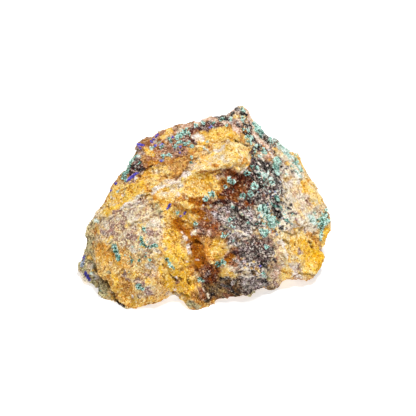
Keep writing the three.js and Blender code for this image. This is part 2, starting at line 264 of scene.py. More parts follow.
# the ground colours of the display face, bottom layer first: pigment, soft edge, outline
zones = [
    ("olive", 0.4, [(-25.9, 22), (-26, 12), (-26.2, 10.6), (-25.6, 8.8), (-24, 7), (-22.8, 5.2),
        (-22.2, 3.6), (-21, 2), (-19.4, 0.8), (-18, 0), (-24, -2), (-32, 4), (-32, 14), (-28, 22)]),
    ("ochre", 0.8, [(-25.9, 16.5), (-22, 16), (-17, 14), (-10, 12), (-8.5, 2.5), (-13, -1), (-18, 0),
        (-21, 2), (-22.8, 5.2), (-25.7, 9)]),
    ("tan", 1.2, [(-20, 14), (-11, 13), (-9.5, 3), (-12, 1), (-15, 2.5), (-17, 7)]),
    ("mauve", 0.7, [(-25.4, 16.4), (-25, 21), (-21, 23.1), (-16, 25.4), (-12.5, 25.2), (-10, 22.8),
        (-9.2, 18.5), (-10.2, 15.5), (-16, 14), (-22, 15.4)]),
    ("brown", 0.8, [(-24.6, 24), (-20.4, 30.4), (-15, 30.4), (-14, 34), (-15, 37.5), (-19, 35), (-25, 28)]),
    ("gold", 1, [(-24.8, 23.8), (-21.4, 29.4), (-17, 29.4), (-14, 30), (-15.4, 27.4), (-19.4, 25.8),
        (-22.4, 24)]),
    ("paleGold", 0.5, [(-25.6, 23), (-24.5, 21.8), (-21, 23.2), (-16, 25.8), (-12.5, 26.2), (-13, 29),
        (-14.6, 29.8), (-17.6, 27.6), (-22, 24.4)]),
    ("russet", 0.6, [(-17, 38.2), (-14.6, 36), (-10, 35.8), (-2, 38.5), (-2, 40), (5, 43.8), (9, 44),
        (7.5, 48), (5, 46.5), (-3, 45), (-14, 42)]),
    ("brown", 0.8, [(-14.6, 36), (-7, 37.5), (-2, 38.6), (0.4, 37.4), (-3.5, 33.7), (-6, 31), (-8.4, 31),
        (-8.8, 33.8), (-12, 34.2), (-14.5, 33.2)]),
    ("gold", 0.5, [(-14.2, 33), (-11.5, 33.7), (-8.5, 33.9), (-7.9, 31.4), (-10.5, 30.2), (-14.5, 29.3),
        (-17, 30)]),
    ("gold", 0.4, [(-2, 39.6), (-0.5, 42), (2, 43), (5, 43.5), (8.6, 42.4), (9.6, 39.4), (7, 40.2),
        (3, 39.2), (-1.5, 37.4)]),
    ("paleGold", 0.4, [(-13.3, 27.6), (-8, 30.4), (-4, 32.4), (-0.4, 36.6), (4, 38.9), (7.2, 40), (9.4, 39),
        (11.4, 37.8), (11.2, 36), (10.3, 33.5), (9, 32.2), (5, 33.2), (0, 32.6), (-3, 31.2), (-5, 28.8),
        (-12, 26)]),
    ("gold", 0.9, [(-5, 31), (-1, 32.4), (3, 32.4), (5.2, 30.6), (5.2, 28.6), (4, 27), (0, 26), (-3, 25.6),
        (-6, 27)]),
    ("paleGold", 0.8, [(-13, 28), (-4.5, 29.2), (-3, 27), (-6, 25.6), (-9, 25.4), (-12.5, 25.6)]),
    ("gold", 1, [(-12.4, 26), (-8, 26.4), (-3, 25.2), (0.6, 25.4), (1.4, 23.4), (-0.6, 21), (-4, 19.3),
        (-7, 18.6), (-9.4, 22)]),
    ("yellow", 0.5, [(-9.3, 21), (-7, 19), (-5.6, 16.6), (-3.4, 12), (-2.5, 8.5), (-1.4, 6), (-1.6, 2.6),
        (-4, 2.4), (-6.2, 3.3), (-9, 5), (-9.8, 12), (-9, 16)]),
    ("amber", 0.9, [(-6.8, 21), (-4.5, 20.4), (-2.4, 18.6), (-0.4, 17.4), (0.4, 15), (1.2, 12), (1.4, 9.8),
        (-1.2, 8.2), (-2.6, 9.2), (-3.2, 11.4), (-3.7, 14), (-3.9, 16.6), (-5.4, 18.2), (-6.8, 19.2)]),
    ("umber", 0.7, [(-1.6, 9.2), (0.6, 10.6), (3, 10.6), (4, 9.6), (4.4, 6), (1.6, 4.4), (0, 4.6),
        (-1.2, 6.4)]),
    # this umber zone, in the recess under the slab's right end, is partly stain and partly painted shade
    ("umber", 0.8, [(1.5, 32), (6.5, 33), (9, 32), (10.5, 33.5), (11.3, 37.2), (12.4, 36), (12.4, 29),
        (10.4, 25), (7.5, 24.6), (3.6, 25), (4.2, 27), (5.6, 29.2), (4.6, 31)]),
    ("lilac", 1, [(3, 24.6), (6, 24.9), (8, 24.4), (12.4, 24), (12, 17), (5.8, 16.4), (4.4, 18.4),
        (2, 20.4), (1.8, 22.4)]),
    ("rust", 1.1, [(-2, 23.6), (1.6, 24.8), (3.4, 24.2), (3.6, 21), (4.6, 18.4), (4.2, 17), (0.4, 17.2),
        (-1.4, 19)]),
    ("gold", 0.4, [(0, 16), (2.4, 16.9), (4.4, 16.6), (5.8, 14.6), (5.2, 12.6), (3, 11.2), (2, 11.2),
        (0.4, 13.4)]),
    ("mauve", 0.6, [(15.4, 17.4), (18.6, 17), (19.4, 12), (18.6, 6), (16.6, 4.6), (15.2, 5.4), (15, 8),
        (16, 12)]),
    ("iron", 1, [(5.8, 16.4), (9, 16.8), (14, 17), (15.8, 16.4), (16.8, 14.4), (16.6, 12.6), (16, 11),
        (15.4, 9.8), (14.8, 8.8), (14.4, 7.2), (15.4, 5.8), (16.4, 5.2), (15.6, 4), (9, 2), (1.6, 1.4),
        (3, 5.6), (8, 8), (7.2, 12)]),
    ("lilac", 1, [(7.8, 12), (10, 12.4), (12.4, 10.6), (14.2, 9.6), (15.4, 8.8), (15, 6.6), (13.6, 5.2),
        (11.6, 5.6), (9.4, 7.2), (8.2, 9.4)]),
    ("bark", 1, [(0, 6), (4, 6.4), (8.4, 6.6), (8.6, 3), (3, 2), (0.6, 1)]),
    ("iron", 0.9, [(12.2, 36.6), (15, 35), (17.6, 34.4), (18.4, 30), (18.6, 25), (16.4, 22.6), (12, 24.4),
        (8.4, 25.2), (11.8, 29)]),
    ("gold", 0.4, [(4, 9.8), (5.6, 10.1), (6.4, 9.4), (7.8, 8.8), (7.4, 8), (5.6, 8.1), (4.2, 8.8)]),
    ("clay", 0.9, [(18.4, 35), (24, 33), (27, 29), (28.7, 25.5), (27.4, 22), (26, 19.2), (22, 18),
        (17.4, 18.6), (16.8, 20.4), (18.8, 25), (19, 30)]),
    ("clay", 0.8, [(15.8, 39.6), (18.8, 38.6), (22.8, 34.2), (22, 32), (18.2, 33), (17.8, 36)]),
    ("plum", 0.5, [(4.6, 46.4), (5, 44), (8.6, 42.6), (9.4, 44), (9, 46.6), (7.2, 48)]),
    ("peach", 0.5, [(10, 44.6), (11.4, 44.6), (12.4, 42), (15.4, 39), (16.2, 38), (15.4, 37.4), (13, 39.2),
        (10.8, 42)]),
    ("sienna", 0.6, [(12.6, 37.4), (14, 38), (16.4, 37.6), (17, 36), (15, 35.2), (13, 35.8)]),
    ("paleGold", 0.5, [(23.9, 33), (25.4, 31), (27.6, 29), (29, 26), (27.6, 24.2), (25.6, 24.6),
        (25.2, 26.6), (23.6, 28), (23.1, 30.2)]),
    ("yellow", 0.4, [(27.9, 18.9), (30, 19.4), (31, 16), (29, 14), (27.8, 14.8)]),
    ("paleGold", 0.6, [(16.6, 18), (24, 18), (27.6, 16.4), (28.6, 12), (28, 8.8), (26, 7.4), (20, 7),
        (18.4, 7.4), (18.8, 12.4)]),
    ("yellow", 0.8, [(21.4, 16.6), (24.6, 17.6), (27.6, 16), (28.8, 12), (28, 8.6), (24.4, 8.8),
        (23.6, 11.6), (21.8, 13.4)]),
    ("paleGold", 0.8, [(18.4, 18), (24, 18), (25, 16), (22, 15), (19, 16)]),
    ("gold", 0.9, [(18.4, 9.6), (20.4, 10.4), (20.8, 8), (20, 7), (18.6, 7.2)]),
    ("saffron", 0.9, [(25, 14.6), (27.6, 14.4), (28.8, 12), (28, 8.8), (25.8, 9), (25.4, 11.4)]),
    ("clay", 0.5, [(20.2, 10.6), (22.4, 10.4), (23, 7.4), (20.8, 7.2)]),
]

# Brush strokes over the zones, by pigment: half width, then x and up of each point along it
strokes = {
    "bark": [(0.4, -10.6, 1.9, -11.6, 1.2), (0.5, 2, 5.6, 3.4, 5.2), (0.8, 4.4, 6.8, 7, 6.6),
        (0.8, 4, 5, 7.4, 4.4), (1, 1, 2.6, 3.4, 3.4, 5.6, 4), (0.8, 0.6, 5, 1.2, 3.2),
        (0.3, 15, 5.2, 16.4, 5, 17, 5.6), (1, 2.4, 5.4, 5.6, 4.6, 8, 3.6), (0.8, 2, 3.4, 5, 2.8),
        (0.35, 11.2, 9, 12, 8.7), (0.4, -26.6, 19.6, -26.8, 16.6), (0.25, -27.4, 14.6, -26.6, 14.2),
        (0.25, -24.8, 6.2, -23.6, 5.2), (0.3, -27.6, 8, -26.8, 7.6)],
    "olive": [(0.4, 9.4, 2.6, 11.4, 3.4, 13.6, 5), (0.8, -3.2, 1.6, -0.8, 0.8),
        (0.5, -11.2, 24.2, -10.4, 23), (0.4, -22.4, 8.6), (0.6, -22, 15.8), (0.5, 15.6, 7),
        (0.4, 4, 19, 5.6, 19.2, 6.6, 18.4), (0.8, -26.6, 19, -26.8, 16), (0.7, -27.6, 14.4, -26.8, 13.4),
        (0.8, -25, 5.8, -23.6, 4.4)],
    "mauve": [(1, -14.8, 13.2, -13, 13.4), (0.9, -13.2, 8, -12, 8.2), (1.1, -14.6, 3.2, -12.4, 4.6),
        (0.5, -9.2, 14.2), (0.7, -16.6, 6.6), (0.5, -22, 10.6), (0.6, 22.4, 29, 22, 27.6),
        (0.6, 24.6, 26, 25, 25.4), (0.8, 22, 24.6), (0.4, 28.2, 24.2, 27.6, 22.8), (0.4, 22.2, 14.4),
        (0.4, 23.2, 13.2), (0.4, 22.6, 10.4, 22.7, 9.4), (0.5, 21, 6.6, 22.6, 6.2, 24, 7),
        (0.35, 17, 13.4, 18, 11.2, 18.8, 10.4), (0.3, -13, 18.2, -13.4, 17, -13.8, 16),
        (0.6, 20.2, 18.8, 21.6, 18.6), (0.5, 15.2, 17.8, 16.2, 17.2), (0.5, 20.8, 28.4, 21.4, 26.8),
        (0.6, 22.6, 22.8, 23.6, 21.6), (0.5, 24.4, 23.2, 25.6, 24.2, 26.4, 25), (0.25, -1.5, 4.6, -1, 3.6),
        (0.4, 6.4, 14.8, 7.4, 14.4), (0.5, 16.8, 12.2, 16.8, 9.4)],
    "plum": [(0.7, -19.4, 20.6, -19.2, 19.4), (0.7, -22.6, 18.6, -21.6, 18), (0.8, -17.8, 17.4, -16.6, 17),
        (0.5, -19.6, 22.6, -18.6, 21.4), (0.5, -16.4, 19.4), (0.5, -15.4, 22.4), (0.4, -24.4, 18.8),
        (0.5, -11.2, 17.8), (0.32, -21.4, 22.9, -19, 24, -17.6, 25, -15.6, 25.6, -13.4, 25.6),
        (0.6, -24.6, 18.4, -22.6, 17.6, -21.8, 18), (0.5, -22.2, 20.6, -21.8, 19.4),
        (0.6, -18.8, 8.4, -18.2, 6.4), (0.5, -13.6, 8), (0.6, -13.8, 4, -12.8, 3.4), (0.5, -19.4, 7.6),
        (0.5, -17.6, 29.8, -16.6, 30.2), (0.4, 16.6, 38.2, 16.4, 37.2), (0.4, 22.4, 14.4, 22.8, 13.4),
        (0.3, 22.5, 10.4), (0.3, 22.4, 9.4, 23, 9.3), (0.5, 24.6, 25.8, 25.2, 25.2), (0.4, 21.8, 21.2),
        (0.4, 23.6, 18.6), (0.5, 18.2, 36, 19.6, 34.8), (0.4, 18.6, 37.4, 18.8, 36.6),
        (0.4, 20.6, 33.6, 21.4, 33.2), (0.8, 14.6, 16.6, 15.6, 15.6), (0.35, -10.2, 21.8, -10.2, 19.4),
        (0.5, 16.6, 6, 17.4, 5.4), (0.3, 16.6, 11.8, 17, 10.8), (0.7, -13.4, 18.6, -12.6, 17.6),
        (0.7, -15.6, 6.6, -14.6, 6), (0.3, 27.4, 15.8, 27.6, 14), (0.3, -12.9, 17, -13.6, 16.2),
        (0.5, 16.6, 39, 17.4, 38), (0.3, 7.8, 10, 8.4, 9.4), (0.3, 6.2, 10.4),
        (0.6, -13.4, 4.4, -12.4, 3.6), (0.6, 1, 22, 2, 20.8), (0.4, 2.4, 24.2, 3.6, 23.8),
        (0.5, -15.4, 37.4, -14.4, 37), (0.7, 4, 22.8, 5.6, 21.8)],
    "iron": [(0.8, 6.4, 24.6, 7.8, 23.4, 9, 22, 10, 20.6), (0.5, 3.6, 23.6, 4.6, 22.6),
        (0.4, 4, 19.2, 5.4, 18.8), (0.4, 8.4, 15.4, 9.8, 14.6), (0.7, 8.6, 20.6, 9.6, 19.6),
        (0.6, 12.6, 20.4, 13.4, 20), (0.4, 8.6, 28.4, 9.2, 27.8), (0.6, 8.6, 24.6, 9.4, 23.8),
        (0.5, 8.4, 20.4, 9.6, 20.4), (0.3, 16.2, 11.8, 16.7, 11.2), (0.3, 15, 9.6, 15.6, 9.2),
        (0.6, 10.2, 14.2, 11.6, 13.4)],
    "lilac": [(0.6, 6.4, 47, 7.8, 47.2), (0.8, 3, 45.6, 6, 44.6), (0.6, 9.6, 6.2, 11.4, 6.4),
        (0.5, 13, 34.6), (0.4, 19.6, 33.4, 20.8, 34), (0.4, 14.2, 28.6, 15.2, 28.2),
        (0.8, 6.4, 16.2, 7.4, 15.6), (0.6, 13.4, 6.4, 14.8, 7.8), (0.8, 2.4, 22.6, 3.6, 21.6),
        (0.35, 6.6, 5.4, 7.4, 6.4), (0.5, 10.4, 30.6, 11.6, 29.6)],
    "clay": [(0.9, -18.2, 22.6, -16.4, 21), (1.1, -12.6, 20.2, -11.6, 20.4), (1, -12.8, 15.8, -12.2, 15.6),
        (0.5, -20.6, 21.4), (0.5, -17, 19.6), (0.6, -22.4, 16.6), (0.5, -20, 24.2, -17.4, 26, -14.4, 27),
        (0.7, -11.8, 9.6, -13.4, 10.4), (0.7, -11, 13.4), (0.5, -9.6, 27.4, -7.4, 28.2), (0.8, -5.6, 29),
        (0.4, -29.6, 9, -28.6, 7.4, -27.6, 6.4), (0.6, 10.2, 8.2), (0.4, 9, 9.4, 10, 9.2), (0.4, 9, 22.6),
        (0.4, 17.6, 38, 18, 37.4), (0.5, -23.6, 20.4, -23, 19.6), (0.5, 4.2, 36.2, 4.6, 35.4),
        (0.35, 7.8, 26.1, 8.6, 26.4), (0.25, 5, 24.6, 5.1, 24.2), (0.35, 1.2, 18.4, 1.3, 17.6),
        (0.35, -2.4, 18.2, -1.9, 17.6), (0.3, 7.4, 18.6, 9, 18.2, 10, 17.8), (0.22, 0.9, 3.4, 1.2, 2.6),
        (0.35, 12, 21.3), (0.8, 18.6, 36.6, 19.6, 35.4), (0.8, 20.4, 34.6, 21.4, 33.4),
        (0.6, 19, 30.8, 19.4, 29), (0.7, -17.4, 14.4, -16.4, 13.8), (0.6, 12.8, 40.4, 13.4, 39.8),
        (0.3, 14.2, 9.6, 14.8, 9.2), (0.5, 9, 8.4, 10.6, 8.2), (0.25, 15.5, 9.6), (0.2, 16, 11.8),
        (0.2, 15.4, 12.6), (0.2, 14.6, 12.4), (0.5, -27.4, 10.6, -26.8, 9.6)],
    "russet": [(0.8, -13.8, 35.2, -11, 35.3), (0.6, -14.4, 38.4, -13, 39.4),
        (0.6, -14.2, 34.2, -12.8, 34.6), (0.9, -12.8, 36.2, -10.4, 36.3), (0.8, -12.4, 36.3, -10.2, 36.1)],
    # of the brown strokes, the first runs along the lower edge of the slab and is partly painted shadow
    # under it, and the last runs along the bottom edge and is partly painted shade
    "brown": [(0.4, -0.6, 32.2, 1.6, 32.3, 3.6, 32.2), (1, 0.6, 16.4, 1.6, 15.4),
        (0.9, -19.4, 6.6, -18.4, 5.4), (0.6, -6.6, 24.8, -5.4, 23.6), (0.7, 4.8, 29.8, 5.4, 29.2),
        (0.7, -2.6, 3.8, -1.4, 2, -0.4, 1.2), (0.7, 26.4, 16.6, 27.2, 15.4), (0.22, 9.8, 38.8, 11.3, 37.8),
        (0.4, 8.6, 40.2, 9.4, 39.8), (0.7, -12.4, 2.4, -11, 1.6)],
    "ochre": [(0.5, 10.6, 34, 11, 35, 11.3, 36.4), (0.6, 9.4, 37.9, 10.6, 37.4),
        (0.8, -12, 2.4, -10.2, 2.2), (0.8, -14, 30, -12, 30.4), (0.5, -25, 9.8), (0.9, -12, 2.2, -10.2, 2),
        (0.6, -1.6, 36.3, -0.4, 36.1), (0.5, -5.2, 14.6, -4.6, 13.6)],
    "orange": [(0.7, -24.8, 14.6, -23.6, 15), (0.5, -21.5, 12.8),
        (0.5, -19.4, 28, -17.4, 28.6, -15.4, 29.6), (0.5, -23.8, 25.6),
        (0.5, -14.8, 29.6, -12.6, 27.4, -11.6, 26), (0.45, -6.4, 26, -4.8, 25.9),
        (0.5, -6.2, 24.4, -5.4, 24), (0.5, 2.2, 34, 3, 34), (0.4, 3.4, 41.6), (0.3, 8.6, 35.6),
        (0.6, 9.4, 28.4), (0.5, 0.4, 15, 1, 12.6, 2, 11.4), (0.5, 24.4, 17.6, 25.4, 17.4),
        (0.5, 24.4, 15.8), (0.4, 24.6, 30.4), (0.3, 2.8, 2, 2.2, 1.2), (0.3, 14, 5.2),
        (0.4, 9.2, 34.4, 9.8, 35.4), (0.6, -2.4, 24.8, 0.2, 25), (0.5, -10.2, 30.2, -9, 30.8),
        (0.5, -11.4, 34.6, -13, 34.6), (0.4, -3.6, 7.6, -2.6, 8.4), (0.6, -3.2, 10.2, -2.8, 9.2),
        (0.3, 14.2, 38.9, 15.2, 38.5), (0.3, 14.8, 36.8, 15.6, 36.4), (0.2, 10, 47.3, 10.6, 46.6),
        (0.5, -2.6, 25.8, -0.4, 26.4)],
    "gold": [(0.6, -15, 16.8, -14.4, 15), (0.8, -16.4, 8), (0.6, -13.4, 6.6, -12.4, 6.2), (0.8, -13, 2.2),
        (1, -18, 2, -15, 1.6), (0.4, -25.4, 19, -24.8, 17.8), (0.6, -27, 12.2), (0.3, -26.2, 9.1),
        (0.6, -13.6, 37.6, -12.4, 36.8), (0.6, -9.8, 41, -8, 42), (0.5, 20.4, 37, 22.2, 36.2),
        (0.7, 23.4, 30, 24.2, 28, 26, 27), (0.8, 26.4, 26.2, 27.4, 25.4), (0.6, 5.4, 38.4, 6.6, 37.4),
        (0.4, 1, 24, 0.4, 23), (0.5, 4.6, 9.4, 6.8, 8.6), (0.5, -9.4, 28.4, -8.6, 28), (0.5, -5.2, 28),
        (0.4, 19.6, 34.6), (0.7, 18.8, 8.4, 20, 8.2), (0.7, -20.4, 27.8, -18.2, 28.6, -16, 29.6),
        (0.8, -13.6, 32, -12, 32.8), (0.4, -22.4, 25.2), (0.25, -2.2, 6.2, -1.6, 5),
        (0.7, -11.4, 32.4, -10.4, 31.8), (0.7, -21.6, 4.2, -20.4, 3.8), (0.5, -4, 25, -2.6, 24.4),
        (0.5, -2, 6.4, -1, 5.2)],
    "yellow": [(0.7, -23.2, 22.8, -20.4, 24.4, -18.4, 25.8, -16.4, 27.6, -14.6, 28.6),
        (0.6, -21.2, 7.8, -20.6, 6.2), (0.8, 5.6, 41.2, 6.6, 40.8), (0.9, 0.4, 31.2, 1.4, 31),
        (0.4, -15.2, 20.8), (0.6, 1.8, 14.6, 2.4, 15.6), (0.9, 24.8, 13.6, 25.6, 10.4), (0.5, 7.4, 36.6),
        (0.8, -12.4, 31.8, -11.2, 32.6), (0.6, -17.2, 28.6, -15.6, 29.4), (0.8, -5.2, 8, -3.4, 6.2),
        (1, -17.4, 28.4, -15, 29.4), (0.6, -19.4, 26.9, -17, 27.7), (1, -8.6, 10.4, -6.6, 8, -5, 5.6),
        (0.8, -4.4, 9, -3, 6.6), (0.9, 21, 15.6, 23.6, 15.8), (0.6, -10.4, 9.6, -9.2, 7.8),
        (0.6, -8, 8.6, -6, 6.4), (0.5, -20.8, 24.3, -18.4, 25.6)],
    "peach": [(0.4, -9.4, 38, -7.6, 38.9), (0.4, -6.8, 41.8, -5.4, 42.6), (0.35, -7.8, 41),
        (0.25, -5, 43.2, -2, 44), (0.5, -15.2, 37), (0.4, 0.6, 45, 2.6, 45.3), (0.6, 7.2, 43, 8.6, 42),
        (0.5, 8, 45.2, 8.8, 44.6), (0.4, 1.2, 18.2, 1.2, 17.6), (0.35, 5.1, 24.6),
        (0.8, 17.6, 9.6, 16.6, 7.6), (0.4, 12.2, 10, 13.2, 9.6), (0.4, 3.4, 31.2), (0.3, 7.6, 31),
        (0.4, 5.6, 27, 5, 26.6), (0.4, 7.2, 26), (0.5, -2.6, 40.6, -0.2, 40.4),
        (0.35, -5.2, 43.2, -3.4, 43.7, -1.4, 44.4, 0.4, 45), (0.3, 0.8, 45.2, 2.8, 45.4),
        (0.45, 11.2, 43.8, 11.8, 43.2), (0.35, 13.4, 36.6, 14.2, 35.6),
        (0.45, 11.6, 41.6, 12.8, 40.4, 14, 39.6, 15.2, 38.6), (0.3, 14.4, 36.6, 16, 35.9),
        (0.25, 7.6, 43.8), (0.3, 6.4, 46.2, 7, 46.8), (0.35, 4.4, 44.2, 5.6, 43.8), (0.35, 4.3, 9.9),
        (0.45, 10.1, 47, 10.8, 45.2), (0.2, 7.4, 11.8), (0.25, 8.8, 11.6, 9.6, 11.9),
        (0.2, 6.8, 9.8, 7.4, 9.6), (0.22, 9.4, 10.6), (0.3, 2.2, 44.7, 3.4, 44.7),
        (0.6, 21, 9.2, 21.8, 8.4), (0.4, 21.6, 7.2, 22.6, 7), (0.8, -9.8, 38.3, -8.4, 38)],
    "sienna": [(0.5, -4.6, 26.6), (0.6, -0.8, 21.8, 0.4, 20.4), (0.5, -1.2, 18.6),
        (0.6, 5, 11.8, 6.4, 12.8), (0.5, -11.2, 36.4, -10.6, 35.6), (0.5, -6.2, 6.3), (0.8, 0.2, 23.2),
        (0.4, 17.4, 12), (0.9, -9, 37.2, -7, 37.8, -4.6, 37.4), (0.6, -7.6, 36.2, -5.6, 36.8),
        (0.5, -0.6, 23.6, 0.4, 23.8), (0.6, 4.6, 26.8, 5.4, 26.4), (0.5, 8.8, 28.2, 9.6, 28.8)],
    "rust": [(0.5, -5.2, 37.6, -4.2, 36.8), (0.7, 5.4, 12, 6.6, 13, 7.6, 13.6), (0.6, 0.6, 19.4, 2.6, 18.8),
        (0.7, 3.6, 26, 5.4, 27), (0.9, -8, 37.4, -5.2, 37.8), (0.35, -15.2, 31.4),
        (0.5, 5, 32.1, 7.4, 31.8), (0.8, -1.2, 4.8, -0.6, 3.6, -0.2, 2.6), (0.5, 5, 3.4, 6.4, 2.8),
        (0.5, 6.6, 11, 7.6, 10.4), (0.35, 8, 12.4, 8.6, 11.6), (0.4, 6.6, 14.2, 7.8, 13.6),
        (0.5, 0.6, 22.6, 1.6, 21.4)],
    "amber": [(1.1, -6.4, 20.6, -5.4, 19.4), (0.6, 3.4, 27.4, 4.4, 26.4), (0.5, 5.6, 26.3),
        (0.6, 3.8, 30.2, 5, 29.2), (0.8, -2.6, 25.4, -0.8, 25.1, 0.4, 24.9), (0.9, -2.4, 23.2, -0.6, 22.6),
        (0.7, -0.6, 21.4, 0.6, 21), (0.6, 4.2, 30.4, 4.6, 29.4), (0.6, 5.6, 11.6, 6.6, 12.4),
        (0.5, -14.4, 33, -13.4, 33.4), (0.6, 4.4, 27.6, 5.6, 27.2), (0.8, -2.4, 13.6, -1.4, 11),
        (0.5, -1.6, 26, 0.2, 26.2)],
    "umber": [(0.6, 1, 20, 2.6, 19.2), (0.6, -0.8, 9.4, 2.6, 7.6), (0.9, 6, 26.4, 7.6, 25.8),
        (0.8, 7.8, 31.6, 10, 30.8, 11, 29.8), (0.7, 10.2, 25.2, 11.2, 25.4), (0.6, 0.6, 19.8, 2, 19.6),
        (0.4, 4.8, 5.6, 6.4, 4.6), (0.4, 5.4, 32.5, 8.4, 32.1), (0.6, 0.2, 25.2, 1.4, 25.4),
        (1, 4.8, 27.4, 6, 28.2, 7.4, 28.8, 9, 28.2)],
    "maroon": [(1.1, -16.8, 33, -15.8, 34.6), (0.5, -15.3, 35.6), (0.4, 2.8, 43.5, 4.4, 43.4),
        (0.5, 6.2, 25.2, 8.6, 24.4, 10.6, 24), (0.5, 7, 13.4, 7.8, 13.2), (0.5, 16, 26, 16.4, 25.2),
        (0.6, 0.4, 8, 1.4, 8.6), (0.6, -4.5, 41, -3.6, 40.3, -2.8, 39.9, -2, 39.5),
        (0.5, -7, 37.6, -5.6, 37.8), (0.8, 11.8, 36.4, 12.2, 35), (0.7, 11.2, 34.6, 12, 33.2),
        (0.4, 11, 37, 11.8, 37.6), (1.2, -16.6, 33, -15.6, 33.4), (0.9, -16, 35.2, -15.3, 34.6),
        (0.4, 12.4, 15.6, 14.4, 14.8), (0.3, 9.6, 16, 10.6, 15.4),
        (0.6, -3, 42.3, -2, 42.8, 0, 43.1, 1.8, 43.7, 3.2, 43.6), (0.5, -17.6, 32.3, -16.4, 32),
        (1.2, -16.7, 33.2, -15.2, 32.9), (0.45, -5, 39.8, -3.8, 40.4), (0.4, 7, 24.6, 8, 24),
        (0.4, 11.2, 32, 11.6, 31.4), (0.45, -1, 42.5, 0.6, 42.5), (0.3, -0.4, 44, 1.4, 44.2),
        (0.6, 2.6, 25.2, 4, 25, 5.6, 25), (0.35, 4.6, 24.4, 5.8, 24.2)],
    "tan": [(0.5, 19.6, 30.9, 20.4, 31), (0.7, -25.2, 10.6, -24.4, 9.8), (0.3, 11.6, 11.2),
        (0.3, 12.4, 9.8, 13, 9.4), (0.3, 12.6, 8.4), (0.25, 9, 11.9), (0.3, 10.2, 10.4), (0.28, 11, 9.7),
        (0.2, 9.6, 9.7), (0.25, 13.2, 10.8), (0.25, 12.9, 7.5), (0.25, 8.4, 8.4), (0.2, 7.8, 7.4),
        (0.3, 22.6, 20, 21.6, 20.8), (0.3, 23.4, 19.2, 21.4, 18.8), (0.4, 2.4, 10.6, 3.4, 10)],
    "paleGold": [(0.5, 17.4, 38, 18, 37.2), (0.4, 19.6, 34.6, 20.2, 34.2), (0.8, 25.4, 25.8, 26.6, 25.2),
        (0.4, 7.4, 45.6, 7.8, 45.4), (0.5, 17.2, 37.8, 18, 36.8), (0.7, 2.6, 38.4, 4.4, 38.8),
        (0.8, -15.6, 20.4, -14.6, 19.6), (0.8, -9.6, 20.6, -8.6, 19.4), (0.5, -23, 16.2, -22, 17),
        (0.5, -18.4, 19.6, -17.6, 20.4), (0.8, -11.4, 12.6, -10.4, 11.6), (0.8, -11.8, 32.6, -10.2, 32),
        (0.35, 21.8, 18.2, 23.2, 18.6)],
    "slate": [(0.22, -28.2, 12.9, -28.6, 11.5, -28.9, 10.2), (0.3, -10.3, 35.1, -9.8, 35.2),
        (0.25, 13.6, 34.4, 14.4, 34), (0.25, 10.8, 31.2), (0.2, 12.6, 34.4, 13.4, 34),
        (0.2, 14.6, 34.2, 15.4, 34.6), (0.2, 11.6, 35.8)],
    "black": [(0.3, 12.2, 38, 12.8, 38.3), (0.3, 14, 37.7, 14.8, 37.7), (1, 13.8, 34.6, 15, 34),
        (0.5, 16, 33.2), (0.5, 17, 31.7, 18.1, 31), (0.3, 18.6, 33.8), (0.25, 19.3, 33.5),
        (0.35, 20.8, 32.6), (0.5, 2, 3.3), (0.4, 9.8, 19.7, 10.6, 19.5), (0.3, 7.2, 24.2, 8.8, 23.4),
        (0.25, 10.6, 20.8, 11.6, 20, 12.4, 20.1), (0.3, 11.2, 9), (0.4, 13.6, 6.8, 14.6, 6.4),
        (0.3, 4.2, 44.9), (0.3, 5.2, 45.3), (0.25, 7.8, 43.6), (0.25, -26.8, 5.4, -25.9, 5),
        (0.35, -20.8, 1.6, -19.4, 0.7, -18, 0), (0.2, -21.8, 26), (0.2, -22.6, 24.7),
        (0.25, 5, 19, 6.2, 18.4), (0.3, 4.4, 7.4, 6, 7.6), (0.4, 10.6, 26.6, 11, 25.6), (0.5, 13, 30.8),
        (0.4, 13.2, 27.4, 12.8, 26), (0.2, 1.8, 45.5, 3.6, 45.7, 5.4, 45.8), (0.2, -4, 38.4, -3.7, 38.2),
        (0.4, 17, 25.2, 18, 25.1, 18.6, 25.2), (0.4, 16, 26, 16.6, 25.3), (0.28, 20.2, 24.8, 20.4, 24.4),
        (0.25, 19.7, 24, 20.6, 23.6), (0.3, 20.5, 23, 20.9, 22.8), (0.28, 21.4, 22.5, 21.8, 22.4),
        (0.25, 20, 22.9), (0.25, 20.2, 20.4, 20.8, 20), (0.22, 19.4, 20.3), (0.3, 11.6, 38.2, 12.4, 37.9),
        (0.3, 7.6, 47.2, 8, 47.6), (0.32, 18, 19.2, 18.4, 19), (0.6, 12.8, 34.9, 13.8, 34.5),
        (0.5, 15.4, 33.6, 16.2, 33), (0.4, 12.2, 35.9, 12.8, 35.3),
        (0.42, 11.7, 40.1, 12.4, 39.6, 12.9, 39.1, 13.6, 38.6), (0.35, 12.6, 38.6, 13, 38),
        (0.42, 8.7, 46.2, 9.6, 46.2, 10, 45.9), (0.6, 9.8, 43.7, 10.4, 43.5, 10.9, 43),
        (0.42, 9.4, 41.7, 10.2, 41.5, 10.9, 41.5), (0.45, 15, 40, 15.5, 39.5), (0.3, 8, 43.7, 8.4, 43.4),
        (0.3, 6.6, 45.9, 7.2, 46.4), (0.35, 4.4, 5.9, 6.4, 5), (0.3, 6.6, 4, 7.8, 3.2),
        (0.3, 5.2, 7.2, 6.2, 7), (0.3, 12.2, 12.9, 13, 12.4), (0.35, 11.8, 34.9, 12.6, 34.2),
        (0.4, 13.4, 29.4, 14, 28.8), (0.5, 12, 32.6, 12.6, 31.6), (0.45, 16.6, 30.4, 17.2, 29.6),
        (0.3, 14, 10.8, 14.8, 10), (0.25, 13, 14, 13.6, 13.6), (0.3, 11.2, 31, 11.8, 30.6),
        (0.12, 7.2, 23.9, 8, 23, 9.6, 20.8), (0.5, 16.2, 23.5, 17.2, 23.1, 18.2, 22.2),
        (0.25, 16.4, 11.6, 17, 11.1), (0.2, 15.4, 13.4, 16.2, 13), (0.2, 16, 10.2),
        (0.35, 16.6, 22.6, 17.8, 21.6), (0.3, 17.2, 31.8, 16.6, 32.2), (0.25, 18.7, 21.1, 19.4, 20.8),
